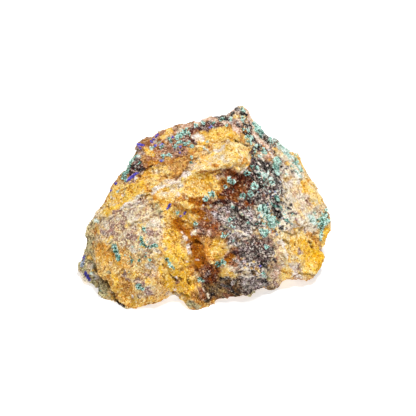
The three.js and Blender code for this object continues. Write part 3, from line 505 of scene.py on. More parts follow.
        (0.2, 19.8, 21.2), (0.32, 14.2, 41.6, 14.5, 41.3), (0.26, 14.4, 40.6),
        (0.4, 17.6, 22.4, 18.3, 21.8), (0.3, 16, 22.9, 16.6, 23.4), (0.5, 17.2, 23.2, 18, 22.6),
        (0.35, -16.8, 33.5, -15.8, 33.9), (0.3, -16.2, 35, -15.6, 35.3), (0.3, -15.6, 32.9, -15, 33.3)],
    # the white strokes along the crest of the slab, from x -12.6 up 27.4 to x -3.4 up 32.6, are partly
    # painted highlight, and the white specks at x -26 up 8 and at x -0.8 up 8.8 are painted glints
    "white": [(0.3, -19.6, 23.6, -17.6, 24.4, -16.4, 25), (0.3, -6, 27),
        (0.45, 2.4, 37.5, 3.4, 37.4, 4.6, 38.5), (0.5, -4.4, 31.4, -3.4, 32.2), (0.3, -17, 2.8),
        (0.4, -4.5, 17, -4, 16.6), (0.3, -5.2, 18), (0.3, -5, 15.8), (0.4, -3.7, 15, -3.9, 14.3),
        (0.4, -3.5, 13.4), (0.3, -4, 11.4), (0.3, -2.8, 17.6, -2.1, 18.4), (0.3, -26.2, 8, -25.6, 7.4),
        (0.3, -6.8, 4.5), (0.25, -6.6, 7.4), (0.2, -0.8, 8.8), (0.7, 21, 10, 21.6, 8.6, 22.4, 7.6),
        (0.5, 17.8, 16, 19, 14.6, 19.8, 12.8), (0.2, -22, 26.6), (0.2, -21.4, 26.2), (0.2, -20.2, 28.2),
        (0.2, -19.4, 27), (0.2, -24.8, 22.6), (0.3, -16.2, 31), (0.4, 8.7, 22.7), (0.3, 13.8, 7.2),
        (0.25, 15.6, 9.7), (0.25, -0.2, 24.6), (0.45, -2.5, 40.9, -1.4, 41.2, -0.4, 40.7),
        (0.3, -0.6, 40.2, -0.1, 40.1), (0.3, -6.2, 42, -5.7, 42.5), (0.25, 6.6, 24.9, 7, 24.4),
        (0.2, 5.4, 26.9), (0.2, 7, 28), (0.22, -18.8, 24.6, -17.4, 25.2, -15, 25.4),
        (0.25, 13.6, 36.4, 14.4, 35.4), (0.25, 15.6, 36.9, 16.4, 36.2),
        (0.22, 8.8, 32.1, 9.8, 32.8, 10.4, 33.6), (0.25, 1.6, 24.5), (0.16, 0.2, 21.2), (0.16, 1.4, 19.8),
        (0.4, -12.6, 27.4, -10.8, 28.7, -9.4, 29.2), (0.2, 12.1, 21.3), (0.2, -12.4, 17.2),
        (0.5, -8.4, 30.2, -6.6, 30.8), (0.4, -5.6, 31.4, -4, 32.6), (0.12, -1.9, 11.9, -1.3, 11.5),
        (0.12, 13, 34.8, 13.6, 34.2), (0.12, 14.8, 33.9, 15.3, 34.4), (0.12, 12, 34), (0.12, 16.2, 32.6),
        (0.14, 8.2, 44.7), (0.5, -7.8, 30, -6, 30.2), (0.4, 20.8, 10, 21.6, 9.8)],
    "green": [(0.4, -6.6, 40.6, -4.4, 41.8), (0.3, -16.2, 36, -17.4, 34.6, -18.2, 33.2, -18.9, 31),
        (0.3, -8.9, 12, -8.3, 11, -7.8, 10.2), (0.4, -1.2, 7, -0.4, 6.6), (0.4, 17.2, 26.4),
        (0.5, 27.2, 19.6, 28, 20.8), (0.4, 27.6, 18.2, 27.4, 16.6), (0.5, 14.2, 24, 15, 23),
        (0.6, 15.2, 21.4, 16.8, 19.8), (0.5, 13.4, 18.6, 14.6, 17.6), (0.3, 9.4, 42.8),
        (0.4, 12.2, 42.6, 13.4, 41.8), (0.3, -24.2, 4.4), (0.3, 9.2, 44.8),
        (0.5, -21.4, 14.8, -21, 13.6, -20.4, 12.2), (0.35, -14.2, 19.2, -14, 18.6),
        (0.35, -15, 16.6, -14.6, 15.6), (0.4, -12.4, 15, -11.2, 15.2), (0.5, -15.6, 5.2, -14.8, 4.8),
        (0.5, 16.4, 34.2, 17.4, 33.6), (0.35, 12.6, 43.4, 13.4, 42.8), (0.3, 13, 41.8, 13.8, 41.2),
        (0.25, 18.3, 24.2), (0.5, 16.6, 34.9, 17.4, 34), (0.5, 12, 43.8, 12.8, 43.6)],
    "paleGreen": [(0.4, 17.8, 39.2, 19, 38.2, 20.4, 36.6, 21.8, 35.2, 23.2, 33),
        (0.6, 25.4, 22, 26.2, 20.6), (0.4, 26.6, 22.8), (0.4, -15.8, 36.4, -15.2, 36),
        (0.4, 21.6, 32.6, 22.6, 31.4), (0.3, 0, 38, 0.6, 37.6), (0.3, 0.8, 39.7), (0.3, -20.4, 27.8),
        (0.3, -18.8, 27.2), (0.5, -25.4, 20.8), (0.3, -26.6, 8.2), (0.5, 14.4, 7.8),
        (0.5, 15, 31.4, 14.2, 32), (0.3, 19.6, 32), (0.6, 18, 39, 19, 37.6, 20.2, 36.2),
        (0.35, 15.8, 40.4, 17.6, 39.9), (0.25, 17, 34.4)],
    "darkGreen": [(0.25, -7.9, 10.3, -7.1, 9.3), (0.3, 27.9, 19.9), (0.3, 27, 21),
        (0.3, 16.9, 24.5, 17.6, 24.2), (0.35, 17.2, 26.2, 17.6, 25.6), (0.3, 16, 24.9, 16.8, 24.2),
        (0.25, 21, 22.6), (0.25, 17.2, 21.2, 17.8, 20.6), (0.22, 19, 21, 20, 20.6),
        (0.16, 20.2, 20.5, 20.9, 20), (0.25, 13.2, 41.2, 13.8, 40.7), (0.25, 15.2, 41, 15.8, 40.4),
        (0.25, 17.9, 24.4, 18.3, 23.4)],
}

# malachite tufts on the face: x, up, radius
tufts = {
    "peak": [(8.9, 47.3, 0.6), (9.5, 46.9, 0.4), (9.1, 45.5, 0.5), (9.4, 44.7, 0.45), (9.5, 42.6, 0.6),
        (10.4, 42.4, 0.4), (10.3, 40.9, 0.7), (11.1, 40.5, 0.7), (10.4, 39.7, 0.6), (11, 39.3, 0.45),
        (9.2, 46.8, 0.35)],
    "ridge": [(12.3, 38.8, 0.55), (12.1, 37.7, 0.4), (14.2, 37.5, 0.8), (13.1, 36.3, 0.4),
        (17.2, 35.3, 1.1), (17, 33.4, 0.9), (17.4, 32.1, 0.7)],
    "crest": [(11.9, 44.2, 0.5), (12.6, 43.1, 0.6), (13.2, 42.3, 0.8), (12.2, 42.2, 0.4), (13.9, 42.6, 0.4),
        (13.4, 41.4, 0.35), (15.3, 41, 0.5), (15.5, 40.2, 0.4), (15.9, 39.5, 0.4), (18.7, 38.3, 0.45),
        (19.6, 36.9, 0.35), (21.8, 34.8, 0.5), (23, 32.8, 0.5)],
    "recess": [(10.3, 32.2, 0.72), (5, 28.9, 0.41), (11.9, 29.2, 0.9), (11.1, 27.2, 0.77),
        (9.3, 26.8, 0.63), (1.9, 27.1, 0.81), (0.5, 26.2, 0.54), (5.9, 30.7, 0.59), (6.8, 30.1, 0.63)],
    "specks": [(11.4, 33.8, 0.35), (12.5, 33.4, 0.5), (13.4, 32, 0.35), (14.4, 31, 0.5), (15.9, 29.9, 0.6),
        (17.4, 26, 0.5), (10.6, 23.9, 0.4), (9, 22.6, 0.4), (10.6, 20.2, 0.45)],
    "bloom": [(13, 23.6, 0.7), (14.1, 24.2, 0.9), (14.7, 23.1, 0.7), (15, 21.7, 1), (16, 20.4, 1),
        (16.4, 21.4, 0.5), (15.9, 19.4, 0.5), (13.5, 18.6, 0.7), (14.2, 17.7, 0.8), (15, 18.2, 0.5),
        (14, 22, 0.4)],
    "rightEdge": [(28.9, 23.6, 0.5), (28.7, 22.2, 0.9), (27.9, 21.4, 0.8), (29.2, 20.8, 0.8),
        (28.4, 20.2, 0.8), (27.8, 19.2, 0.6), (27.8, 18.2, 0.55), (27.5, 17.1, 0.4)],
    "brow": [(-6.5, 40.5, 0.41), (-5.8, 40.8, 0.54), (-5.2, 41.4, 0.54), (-4.7, 42, 0.45), (-4, 42.5, 0.41),
        (-3.5, 41.6, 0.32), (-8.3, 40.2, 0.32), (-7.8, 39.9, 0.41), (-6.1, 39.2, 0.41), (-5.4, 39.4, 0.32),
        (-4.4, 39, 0.59), (-3.5, 39.3, 0.27), (-2.8, 38.3, 0.59), (-6.9, 38.2, 0.5), (-9.6, 36.2, 0.54),
        (-8.1, 36.4, 0.54), (-12.2, 38, 0.45), (-9.9, 38.4, 0.36), (-2, 43.5, 0.45), (-0.2, 43.9, 0.41),
        (2.3, 43.9, 0.36), (4.2, 44.8, 0.54), (6.3, 44.8, 0.45), (5.4, 43.5, 0.27)],
    "shoulder": [(-17.2, 34.9, 0.8), (-16.1, 36.1, 0.4), (-18.1, 33.9, 0.6), (-17.9, 32.9, 0.5),
        (-18.8, 32.1, 0.7), (-19.1, 31.2, 0.8), (-18.5, 30.6, 0.5), (-15.2, 34.7, 0.4)],
    "leftLobe": [(-21.3, 14.6, 0.36), (-20.9, 13.6, 0.41), (-20.5, 12.6, 0.32), (-20.2, 11.7, 0.36),
        (-14.1, 18.9, 0.36), (-14.8, 17, 0.32), (-14.7, 16.5, 0.23), (-14.8, 15.4, 0.32), (-14, 15.1, 0.27),
        (-13.4, 14.8, 0.27), (-11.4, 15.1, 0.41), (-12.2, 15, 0.27), (-17, 11.4, 0.32), (-15.3, 11.6, 0.27),
        (-12.9, 11.8, 0.32), (-15.3, 5.3, 0.59), (-14.6, 4.9, 0.32)],
    "middle": [(4.7, 17.3, 0.59), (6.8, 16, 0.45), (3.4, 10.7, 0.72), (4.5, 11, 0.63), (-1.2, 7, 0.45),
        (-2, 20.2, 0.36), (-8.7, 11.7, 0.41), (-8.3, 11, 0.32), (-7.9, 10.3, 0.27), (-6.3, 22.8, 0.36),
        (14.7, 14.8, 0.36), (13.9, 8.7, 0.36), (6.2, 21.2, 0.41), (6.9, 19.5, 0.32), (7, 24.1, 0.32)],
    "dull": [(-3, 34.6, 0.4), (6.3, 30.5, 0.45), (-3, 36, 0.2)],
}

knobPlaces = ("recess", "middle", "leftLobe", "brow", "dull")    # a tuft here is a knob, not a crust

azuriteLines = [                       # half width, brightness, line
    (0.28, 0.12, [(-15.8, 38.9), (-14.3, 38.8)]), (0.16, 0, [(-15.3, 38.1), (-14.9, 38)]),
    (0.2, 0, [(-12.5, 39.6), (-12.2, 39.4)]), (0.16, 0, [(-12, 40.2), (-11.8, 40.1)]),
    (0.16, 0, [(-11.4, 40.7), (-10.8, 41.4)]), (0.24, 0.2, [(-11.7, 38.4), (-11.3, 38.7)]),
    (0.24, 0.6, [(-10.2, 38.9), (-9.8, 38.9)]), (0.22, 0, [(-7.5, 40.6), (-7.3, 40.6)]),
    (0.14, 0.35, [(-5.8, 38.3), (-5.4, 38.5)]), (0.14, 0.35, [(-5.8, 37), (-5.7, 37)]),
    (0.34, 0.1, [(-17.7, 30.7), (-16.5, 31.5)]), (0.2, 0.2, [(-18.3, 30.3), (-17, 31.4), (-15.7, 32.2)]),
    (0.2, 0, [(-21, 29.6), (-20.7, 29.8)]), (0.24, 0, [(-22, 27.9), (-21.8, 28.1)]),
    (0.2, 0, [(-8.7, 23.7), (-8, 24.9)]), (0.18, 0, [(-4.7, 22.6), (-4.4, 22.9)]),
    (0.12, 0, [(-5.6, 22), (-5.4, 22.1)]), (0.1, 0, [(-28.3, 12.6), (-28.5, 11.8)]),
    (0.34, -0.45, [(-28.2, 8.8), (-27.6, 7.8), (-27, 6.8)]), (0.12, 0.3, [(-10.3, 35), (-10, 35.1)]),
    (0.1, 1.3, [(1.1, 42.8), (1.8, 43.3)]), (0.1, 0.3, [(13.2, 10.2), (13.3, 10.1)]),
]

cracks = [                             # half width, depth, then x and up of each point along it
    (0.17, 1, 7.2, 40.1, 8.2, 39.5, 9.4, 38.9, 10.5, 38.4, 11.4, 37.7),
    (0.17, 0.8, -14.4, 33.2, -13, 33.6, -12.2, 34.1), (0.16, 0.4, 18.2, 18.4, 19.8, 18, 21, 17.4),
    (0.2, 0.35, 16.8, 18.1, 17.4, 18), (0.24, 0.6, 18.7, 16.3, 19.4, 15.9, 20.1, 15.5),
    (0.22, 0.6, 25, 15.9, 25.5, 15.5), (0.24, 0.6, 25.4, 15, 25.9, 14.6),
    (0.2, 0.5, -26.1, 10.8, -25.9, 9.2, -25.2, 8.2), (0.27, 0.6, -25.2, 8.2, -24.2, 7.1, -22.8, 5.2),
    (0.2, 0.55, -22.8, 5.2, -22.2, 4, -21.4, 2.6, -20.6, 1.8), (0.16, 0.4, -9.9, 10.4, -9.2, 9.6),
    (0.16, 0.4, -9.8, 7.8, -9.3, 7.2), (0.12, 0.5, -8, 8, -7.4, 7.5), (0.16, 0.8, -7.2, 7.3, -6.4, 6.7),
    (0.16, 0.8, -5.9, 7.3, -5.4, 7), (0.16, 0.4, -4.2, 6.8, -3.4, 6.8), (0.2, 0.5, -3.9, 6.3, -3.1, 5.8),
    (0.2, 0.5, -7.3, 4, -6.2, 3.3), (0.2, 0.5, -5.6, 3.7, -4, 2.9), (0.14, 0.3, -7, 13.2, -6.2, 12.2),
    (0.14, 0.3, -5.2, 12, -4.4, 10.8), (0.22, 0.4, 22.6, 8.4, 24.8, 8.2, 26.8, 8),
    (0.14, 0.3, 19.1, 30, 19.3, 27.4), (0.2, 0.4, -14.8, 26.6, -13, 27),
]

ledges = [                             # drop below the line, fade, line with the high side on its left
    (0.7, 2.2, [(9.4, 32.2), (10.6, 33.6), (11.4, 36.4)]),
    (0.3, 1.2, [(0.6, 32.5), (5, 33.2), (8.8, 32)]),
    (1.2, 0.8, [(-16.8, 37.7), (-14.8, 37.7)]),
    (0.45, 1.4, [(-20.8, 23.1), (-16, 25.2), (-12.6, 26)]),
    (0.5, 1.5, [(-12.8, 28), (-7, 31), (-2.6, 34.2)]),
]

grainRuns = [                          # x and up of a stretch of grain, and its slope in degrees
    (-12, 36, 30), (2, 37, 27), (-14, 27, 29), (-18, 14, 50), (-6, 10, -58), (2, 4, -62), (0, 24, -40),
    (11, 14, 15), (23, 12, -42), (23, 26, -62), (13, 40, -42), (12, 28, -70),
]

stoneShape = {
    "seed": 7,
    "voxel": 0.27,                     # grid of the remeshed surface
    "kept": 0.73,                      # share of the faces left once the far sides are thinned
    "lumps": (5.5, 0.28),              # size and height
    "chips": (2.6, 0.24, 0.26),        # size, tilt and step of the broken scars
    "flakes": (1.1, 0.18, 0.08),
    "stretch": 2.2,                    # how much longer scars are along the grain than across it
    "runReach": 50,                    # how far a stretch of grain holds, in square mm
    "ridges": (0.75, 3.4, 0.17),       # width, length and height of the ridges along the grain
    "grains": (0.62, 0.08),            # size and height
    "pits": (1.3, 0.4, 0.82),          # size, depth, and the share of the cells that has none
    "rimShare": 0.65,                  # how much of the relief is left along the rim
    "setBack": 0.12,                   # of the whole surface, so that the relief stays in the box
    "swelling": 0.25,                  # of the rock under the tufts, as a share of their domes
    "restingBand": 0.5,                # over which the relief fades in above the floor
}


def readPoints(mesh):
    flat = np.empty(len(mesh.vertices) * 3)
    mesh.vertices.foreach_get("co", flat)
    return flat.reshape(-1, 3) / millimetre


def readNormals(mesh):
    flat = np.empty(len(mesh.vertices) * 3)
    mesh.vertex_normals.foreach_get("vector", flat)
    return flat.reshape(-1, 3)


def writePoints(mesh, points):         # kept inside the box of the frame
    low, high = np.array(cadBox[0]), np.array(cadBox[1])
    mesh.vertices.foreach_set("co", np.clip(points * millimetre, low, high).ravel())
    mesh.update()


def addLayer(mesh, name, kind, values):    # an attribute with a value for each point
    slot = {"FLOAT": "value", "FLOAT_VECTOR": "vector", "FLOAT_COLOR": "color"}[kind]
    mesh.attributes.new(name, kind, "POINT").data.foreach_set(slot, np.asarray(values, float).ravel())


def plainMesh(piece):                  # the modifiers' result becomes the piece's own mesh
    depsgraph = bpy.context.evaluated_depsgraph_get()
    mesh = bpy.data.meshes.new_from_object(piece.evaluated_get(depsgraph))
    piece.modifiers.clear()
    piece.data = mesh


def newPiece(name, mesh):
    piece = bpy.data.objects.new(name, mesh)
    bpy.context.scene.collection.objects.link(piece)
    return piece


speckled = [                           # how strongly, and the outline of the speckled rock
    (1.0, [(11.6, 37.4), (16, 34.6), (19, 34), (19.4, 25), (20.8, 20), (17, 17), (12.6, 17.2), (11.4, 21),
           (13, 25), (11.6, 30), (10.8, 34)]),
    (0.9, [(9, 46), (15, 41.6), (22, 33), (18, 34), (14, 38), (10, 42)]),
    (0.6, [(-16, 39), (-4, 44.6), (6, 47), (8.6, 44), (-2, 42.6), (-10, 38)]),
    (0.5, [(5, 25), (12, 26), (12.4, 18), (7, 19)]),
]
flecks = [                             # pigment, size, and which share of the cells has it
    ("black", 0.7, 0.0, 0.3), ("white", 0.5, 0.0, 0.14), ("maroon", 0.9, 0.6, 0.7),
    ("paleGreen", 0.55, 0.3, 0.38), ("clay", 0.5, 0.5, 0.6), ("white", 0.4, 0.4, 0.48),
    ("slate", 0.5, 0.72, 0.8),
]


def grainStreaks(points, seen, field, across, along):   # waves drawn out along the grain
    total, strength = np.zeros(len(points)), np.zeros(len(points))
    depth = points @ inWay
    for x, up, slope in grainRuns:
        way = np.array((math.cos(math.radians(slope)), math.sin(math.radians(slope))))
        offset = seen - (x, up)
        weight = np.exp(-(offset ** 2).sum(axis=1) / stoneShape["runReach"]) + 1e-6
        over = offset @ np.array((-way[1], way[0]))
        fibres = np.stack([over / across, offset @ way / along, depth / (across + along)], axis=1)
        total += weight * field.waves(fibres, 1, 2)
        strength += weight ** 2
    return total / np.sqrt(strength)


def grainPlaces(points, seen, field, stretch):   # places over and along the nearest run of the grain
    wobble = np.stack([field.waves(points + 20, 4, 2), field.waves(points - 20, 4, 2)], axis=1)
    middles = np.array([run[:2] for run in grainRuns])
    nearest = np.linalg.norm((seen + 1.5 * wobble)[:, None] - middles, axis=2).argmin(axis=1)
    slope = np.radians(np.array([run[2] for run in grainRuns]))[nearest]
    across = seen[:, 1] * np.cos(slope) - seen[:, 0] * np.sin(slope)
    along = seen[:, 0] * np.cos(slope) + seen[:, 1] * np.sin(slope)
    return np.stack([across, along / stretch, points @ inWay + 40.0 * nearest], axis=1)


hiddenSeed = 41
hiddenCrystals = {                     # size of the patches, how rare they are, shift of the noise, density
    "malachite": (7.0, 0.5, 600, 0.22), "azurite": (5.0, 0.75, 700, 0.6),
}


def hiddenShare(mineral, points, normals):   # where a mineral grows on the sides out of sight
    size, low, shift, density = hiddenCrystals[mineral]
    cloud = Field(hiddenSeed).waves(points + shift, size, 3)
    turnedAway = smoothStep(0.1, -0.2, -(normals @ inWay))
    return smoothStep(low, low + 0.2, cloud) * turnedAway * smoothStep(5, 12, points[:, 2])


farStains = [                          # pigment, size, shift of the noise, and where it fades in
    ("ochre", 11, 0, 0.0, 0.25), ("mauve", 9, 30, 0.1, 0.35), ("gold", 7, 60, 0.2, 0.4),
    ("brown", 8, 90, 0.2, 0.4), ("iron", 10, 120, 0.28, 0.45), ("clay", 6, 150, 0.35, 0.55),
]
brush = {
    "zoneWander": 0.6, "strokeWander": 0.3,      # how far edges stray from their drawn lines, in mm
    "darkStreaks": 0.25, "paleStreaks": 0.4,     # strength of the streaks along the grain
    "dirtAndPaintedShade": 0.6, "wearAndPaintedHighlight": 0.4,                    # most that hollows darken and edges pale
    "underTuftsStainAndShadow": 0.85, "underAzurite": 0.8,     # strength of the stain under the crystals
}


class StonePaint:                      # the pigments on each point of the stone
    def __init__(self, points, normals):
        self.points, self.normals, self.field = points, normals, Field(stoneShape["seed"])
        self.seen = seenPlaces(points)
        self.towards = smoothStep(-0.3, 0.1, -(normals @ inWay))     # 1 where it faces the viewer
        self.wobble = np.stack([self.waves(40, 3.2, 3), self.waves(-40, 3.2, 3)], axis=1)
        grain = grainStreaks(points, self.seen, self.field, 0.7, 3)
        self.ragged = 0.5 * grain + 0.4 * self.waves(0, 0.8, 2)
        self.mottle = [
            self.waves(200, 2.4, 3) + 0.6 * grain,
            self.waves(300, 1.4, 2) - 0.5 * grain,
            self.waves(400, 0.8, 2) + 0.3 * grain,
        ]
        self.rows = np.tile(pigmentRow("tan"), (len(points), 1))

    def waves(self, shift, size, layers=1):
        return self.field.waves(self.points + shift, size, layers)

    def lay(self, name, mask):         # a pigment, mottled with its partners
        row = pigmentRow(name)
        for (partner, share), cloud in zip(partners.get(name, []), self.mottle):
            row = row + (pigmentRow(partner) - row) * (share * smoothStep(-0.15, 0.7, cloud))[:, None]
        self.rows += (row - self.rows) * mask[:, None]

    def tint(self, column, mask):      # the body colour goes towards the pale or the dark one
        body, other = self.rows[:, :3], self.rows[:, column:column + 3]
        body += (other - body) * mask[:, None]

    def layGround(self):               # broad stains all round, and the zones of the display face
        for name, size, shift, low, high in farStains:
            self.lay(name, smoothStep(low, high, self.waves(shift, size, 4)))
        self.lay("darkGreen", hiddenShare("malachite", self.points, self.normals))
        self.lay("blue", hiddenShare("azurite", self.points, self.normals) * brush["underAzurite"])
        places = self.seen + brush["zoneWander"] * self.wobble
        for name, soft, outline in zones:
            distance = outlineDistance(places, outline) + self.ragged
            self.lay(name, smoothStep(soft, -soft, distance) * self.towards)
        streaks = grainStreaks(self.points + 60, self.seen, self.field, 0.45, 2.6)
        self.tint(darkColumn, brush["darkStreaks"] * smoothStep(0.35, 0.8, streaks) * self.towards)
        self.tint(paleColumn, brush["paleStreaks"] * smoothStep(-0.35, -0.8, streaks) * self.towards)

    def layFlecks(self):               # speckled rock, its flecks with uneven borders
        places = self.seen + brush["zoneWander"] * self.wobble
        speckles = np.zeros(len(self.points))
        for strength, outline in speckled:
            near = smoothStep(1.2, -1.2, outlineDistance(places, outline) + self.ragged)
            speckles = np.maximum(speckles, strength * near * self.towards)
        shaken = self.points + 0.25 * np.stack([self.waves(shift, 0.7) for shift in (1, 2, 3)], axis=1)
        for name, size, low, high in flecks:
            which, away, border = self.field.cells(shaken + 10 * size, size)
            chosen = (self.field.numbers[which, 3] > low) & (self.field.numbers[which, 3] < high)
            self.lay(name, chosen * smoothStep(0.02, 0.08, border) * speckles)

    def layLines(self):                # brush strokes, and the dark of the cracks
        places = self.seen + brush["strokeWander"] * self.wobble
        for name, lines in strokes.items():
            for halfWidth, *line in lines:
                distance = lineDistance(places, line) + 0.9 * self.ragged * min(halfWidth, 0.7)
                self.lay(name, smoothStep(halfWidth * 1.35, halfWidth * 0.65, distance) * self.towards)
        # the cracks get painted shade, darker the deeper the crack
        for halfWidth, depth, *line in cracks:
            distance = lineDistance(self.seen, line) + 0.3 * self.ragged * halfWidth
            self.lay("crack", smoothStep(halfWidth * 1.6, halfWidth * 0.7, distance) * depth * self.towards)

    def layMinerals(self):             # stains under the crystals; gives the domes under the tufts
        domes = np.zeros(len(self.points))
        for place, group in tufts.items():
            # under the tufts: black under the knobs of the recess and the middle, dark green elsewhere;
            # partly dark mineral, partly painted shadow around and between the crystals
            name = "black" if place in ("recess", "middle") else "darkGreen"
            for x, up, radius in group:
                distance = np.hypot(self.seen[:, 0] - x, self.seen[:, 1] - up)
                distance += (0.6 * self.ragged + 0.1) * radius
                stain = smoothStep(radius, radius * 0.65, distance) * self.towards
                self.lay(name, stain * brush["underTuftsStainAndShadow"])
                dome = np.sqrt(np.clip(1 - (distance / radius) ** 2, 0, 1)) * radius
                domes = np.maximum(domes, dome * self.towards)
        for halfWidth, brightness, line in azuriteLines:
            distance = lineDistance(self.seen, line) + 0.5 * self.ragged * halfWidth
            stain = smoothStep(halfWidth * 1.2, halfWidth * 0.6, distance) * brush["underAzurite"]
            self.lay("slate" if brightness > 0.2 else "blue", stain * self.towards)
        return domes


def reliefOf(paint):                   # how far each point stands out of the stone
    points, seen, towards, field = paint.points, paint.seen, paint.towards, paint.field
    scars = grainPlaces(points, seen, field, stoneShape["stretch"])
    size, rise = stoneShape["lumps"]
    height = rise * paint.waves(0, size, 2)
    height += field.chips(scars, *stoneShape["chips"])
    height += field.chips(scars + 50, *stoneShape["flakes"])
    size, rise = stoneShape["grains"]
    height += rise * paint.rows[:, 3] * paint.waves(0, size, 2)
    size, depth, whole = stoneShape["pits"]
    which, away, border = field.cells(points + 90, size)
    pitted = field.numbers[which, 3] > whole
    hollow = smoothStep(0.36, 0.1, np.linalg.norm(away, axis=1) / size)
    height -= np.where(pitted, depth * hollow, 0)
    for halfWidth, depth, *line in cracks:
        distance = lineDistance(seen, line) + 0.12 * paint.waves(0, 0.9)
        height -= depth * towards * smoothStep(halfWidth * 1.8, halfWidth * 0.4, distance)
    for drop, fade, line in ledges:
        distance = lineDistance(seen, line)
        height += 0.5 * drop * towards * sideOf(seen, line) * np.exp(-distance / fade)
    width, length, rise = stoneShape["ridges"]
    height += rise * (0.5 - np.abs(grainStreaks(points, seen, field, width, length)))
    return height


def stoneSkin():                       # the stone of the frame, remeshed on a fine grid
    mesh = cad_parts["stone"].data.copy()
    work = bmesh.new()
    work.from_mesh(mesh)
    bmesh.ops.remove_doubles(work, verts=work.verts, dist=1e-7)
    work.to_mesh(mesh)
    work.free()
    piece = newPiece("fine_stone", mesh)
    remesh = piece.modifiers.new("remesh", "REMESH")
    remesh.mode = "VOXEL"
    remesh.voxel_size = stoneShape["voxel"] * millimetre
    plainMesh(piece)
    return piece


def makeFineStone():
    piece = stoneSkin()
    points, normals = readPoints(piece.data), readNormals(piece.data)
    paint = StonePaint(points, normals)
    paint.layGround()
    paint.layFlecks()
    paint.layLines()
    domes = paint.layMinerals()

    height, rimShare = reliefOf(paint), stoneShape["rimShare"]
    height *= rimShare + (1 - rimShare) * smoothStep(0.0, 0.45, np.abs(normals @ inWay))
    height += stoneShape["swelling"] * domes
    above = np.clip(points[:, 2] / stoneShape["restingBand"], 0, 1)
    shift = (height - stoneShape["setBack"]) * above
    writePoints(piece.data, points + normals * shift[:, None])

    # hollows are darkened, partly as dirt and partly as painted shade, and raised edges are paled, partly as
    # rubbed wear and partly as painted highlight
    paint.tint(darkColumn, np.clip(-height * 1.4, 0, brush["dirtAndPaintedShade"]))
    paint.tint(paleColumn, np.clip(height * 0.9 - 0.1, 0, brush["wearAndPaintedHighlight"]))
    for name, column in (("bodyColour", 0), ("paleColour", paleColumn), ("darkColour", darkColumn)):
        addLayer(piece.data, name, "FLOAT_COLOR", paint.rows[:, column:column + 4])
    brightness = paint.rows[:, :3] @ (0.2, 0.7, 0.1)
    loose = smoothStep(0.0, 0.5, paint.waves(500, 3, 3)) * (points[:, 2] > 1)
    onPale, onDark = smoothStep(0.12, 0.25, brightness), smoothStep(0.25, 0.12, brightness)
    addLayer(piece.data, "gritShare", "FLOAT", loose * onPale * paint.rows[:, 3])
    addLayer(piece.data, "granuleShare", "FLOAT", loose * onDark)
    piece.data.polygons.foreach_set("use_smooth", np.zeros(len(piece.data.polygons), bool))

    # the far sides need fewer faces than the display face
    farSide = np.flatnonzero((normals @ inWay > 0.15) & (points[:, 2] > stoneShape["restingBand"]))
    piece.vertex_groups.new(name="far side").add(farSide.tolist(), 1, "REPLACE")
    thinning = piece.modifiers.new("thinning", "DECIMATE")
    thinning.vertex_group = "far side"
    thinning.ratio = stoneShape["kept"]
    plainMesh(piece)
    piece.vertex_groups.clear()
    return piece


fineStone = makeFineStone()
fineStone.data.calc_loop_triangles()
print("fine stone:", len(fineStone.data.loop_triangles), "triangles")


class Wire:                            # a socket that can be added, multiplied and so on
    def __init__(self, board, socket):
        self.board, self.socket = board, socket

    def maths(self, operation, *values):
        return self.board.node("ShaderNodeMath", {"operation": operation}, dict(enumerate(values)))

    def __add__(self, other):
        return self.maths("ADD", self, other)

    def __radd__(self, other):
        return self.maths("ADD", other, self)

    def __sub__(self, other):
        return self.maths("SUBTRACT", self, other)

    def __rsub__(self, other):
        return self.maths("SUBTRACT", other, self)

    def __mul__(self, other):
        return self.maths("MULTIPLY", self, other)

    def __rmul__(self, other):
        return self.maths("MULTIPLY", other, self)

    def __truediv__(self, other):
        return self.maths("DIVIDE", self, other)

    def __gt__(self, other):
        return self.maths("GREATER_THAN", self, other)

    def size(self):                    # without its sign
        return self.maths("ABSOLUTE", self)

    def out(self, name):               # another output of the same node
        return Wire(self.board, self.socket.node.outputs[name])


class Board:                           # a node tree being wired up
    def __init__(self, tree):
        self.tree = tree

    def node(self, kind, settings=None, inputs=None, output=0):
        made = self.tree.nodes.new(kind)
        for name, value in (settings or {}).items():
            setattr(made, name, value)
        for name, value in (inputs or {}).items():
            if isinstance(value, Wire):
                self.tree.links.new(value.socket, made.inputs[name])
            else:
                made.inputs[name].default_value = value
        return Wire(self, made.outputs[output]) if len(made.outputs) else made

    def mix(self, share, first, second, blend="MIX"):
        return self.node("ShaderNodeMix", {"data_type": "RGBA", "blend_type": blend},
                         {0: share, 6: first, 7: second}, 2)

    def noise(self, place, size, detail=2.0, output=0):
        values = {"Vector": place, "Scale": 1 / size, "Detail": detail}
        return self.node("ShaderNodeTexNoise", {}, values, output)

    def ramp(self, value, low, high):  # 0 below low, 1 above high
        return self.node("ShaderNodeMapRange", {"interpolation_type": "SMOOTHSTEP"},
                         {"Value": value, "From Min": low, "From Max": high})

    def steps(self, value, colour, rises):   # from one colour to the next as the value rises
        for low, high, following in rises:
            colour = self.mix(self.ramp(value, low, high), colour, following)
        return colour

    def bump(self, height, strength, distance):
        return self.node("ShaderNodeBump", {},
                         {"Strength": strength, "Distance": distance, "Height": height})

    def attribute(self, name):
        return self.node("ShaderNodeAttribute", {"attribute_name": name})

    def named(self, name, kind="FLOAT"):     # the same, in a tree that makes shapes
        return self.node("GeometryNodeInputNamedAttribute", {"data_type": kind}, {"Name": name})

    def random(self, seed, low=0.0, high=1.0):   # a number, or a vector between two vectors
        if isinstance(low, tuple):
            return self.node("FunctionNodeRandomValue", {"data_type": "FLOAT_VECTOR"},
                             {0: low, 1: high, "Seed": seed})
        return self.node("FunctionNodeRandomValue", {"data_type": "FLOAT"},
                         {2: low, 3: high, "Seed": seed}, 1)


def solidColour(code):
    return (*linearColour(code), 1)


def newMaterial(name):
    material = bpy.data.materials.new(name)
    material.use_nodes = True
    material.node_tree.nodes.clear()
    return material, Board(material.node_tree)


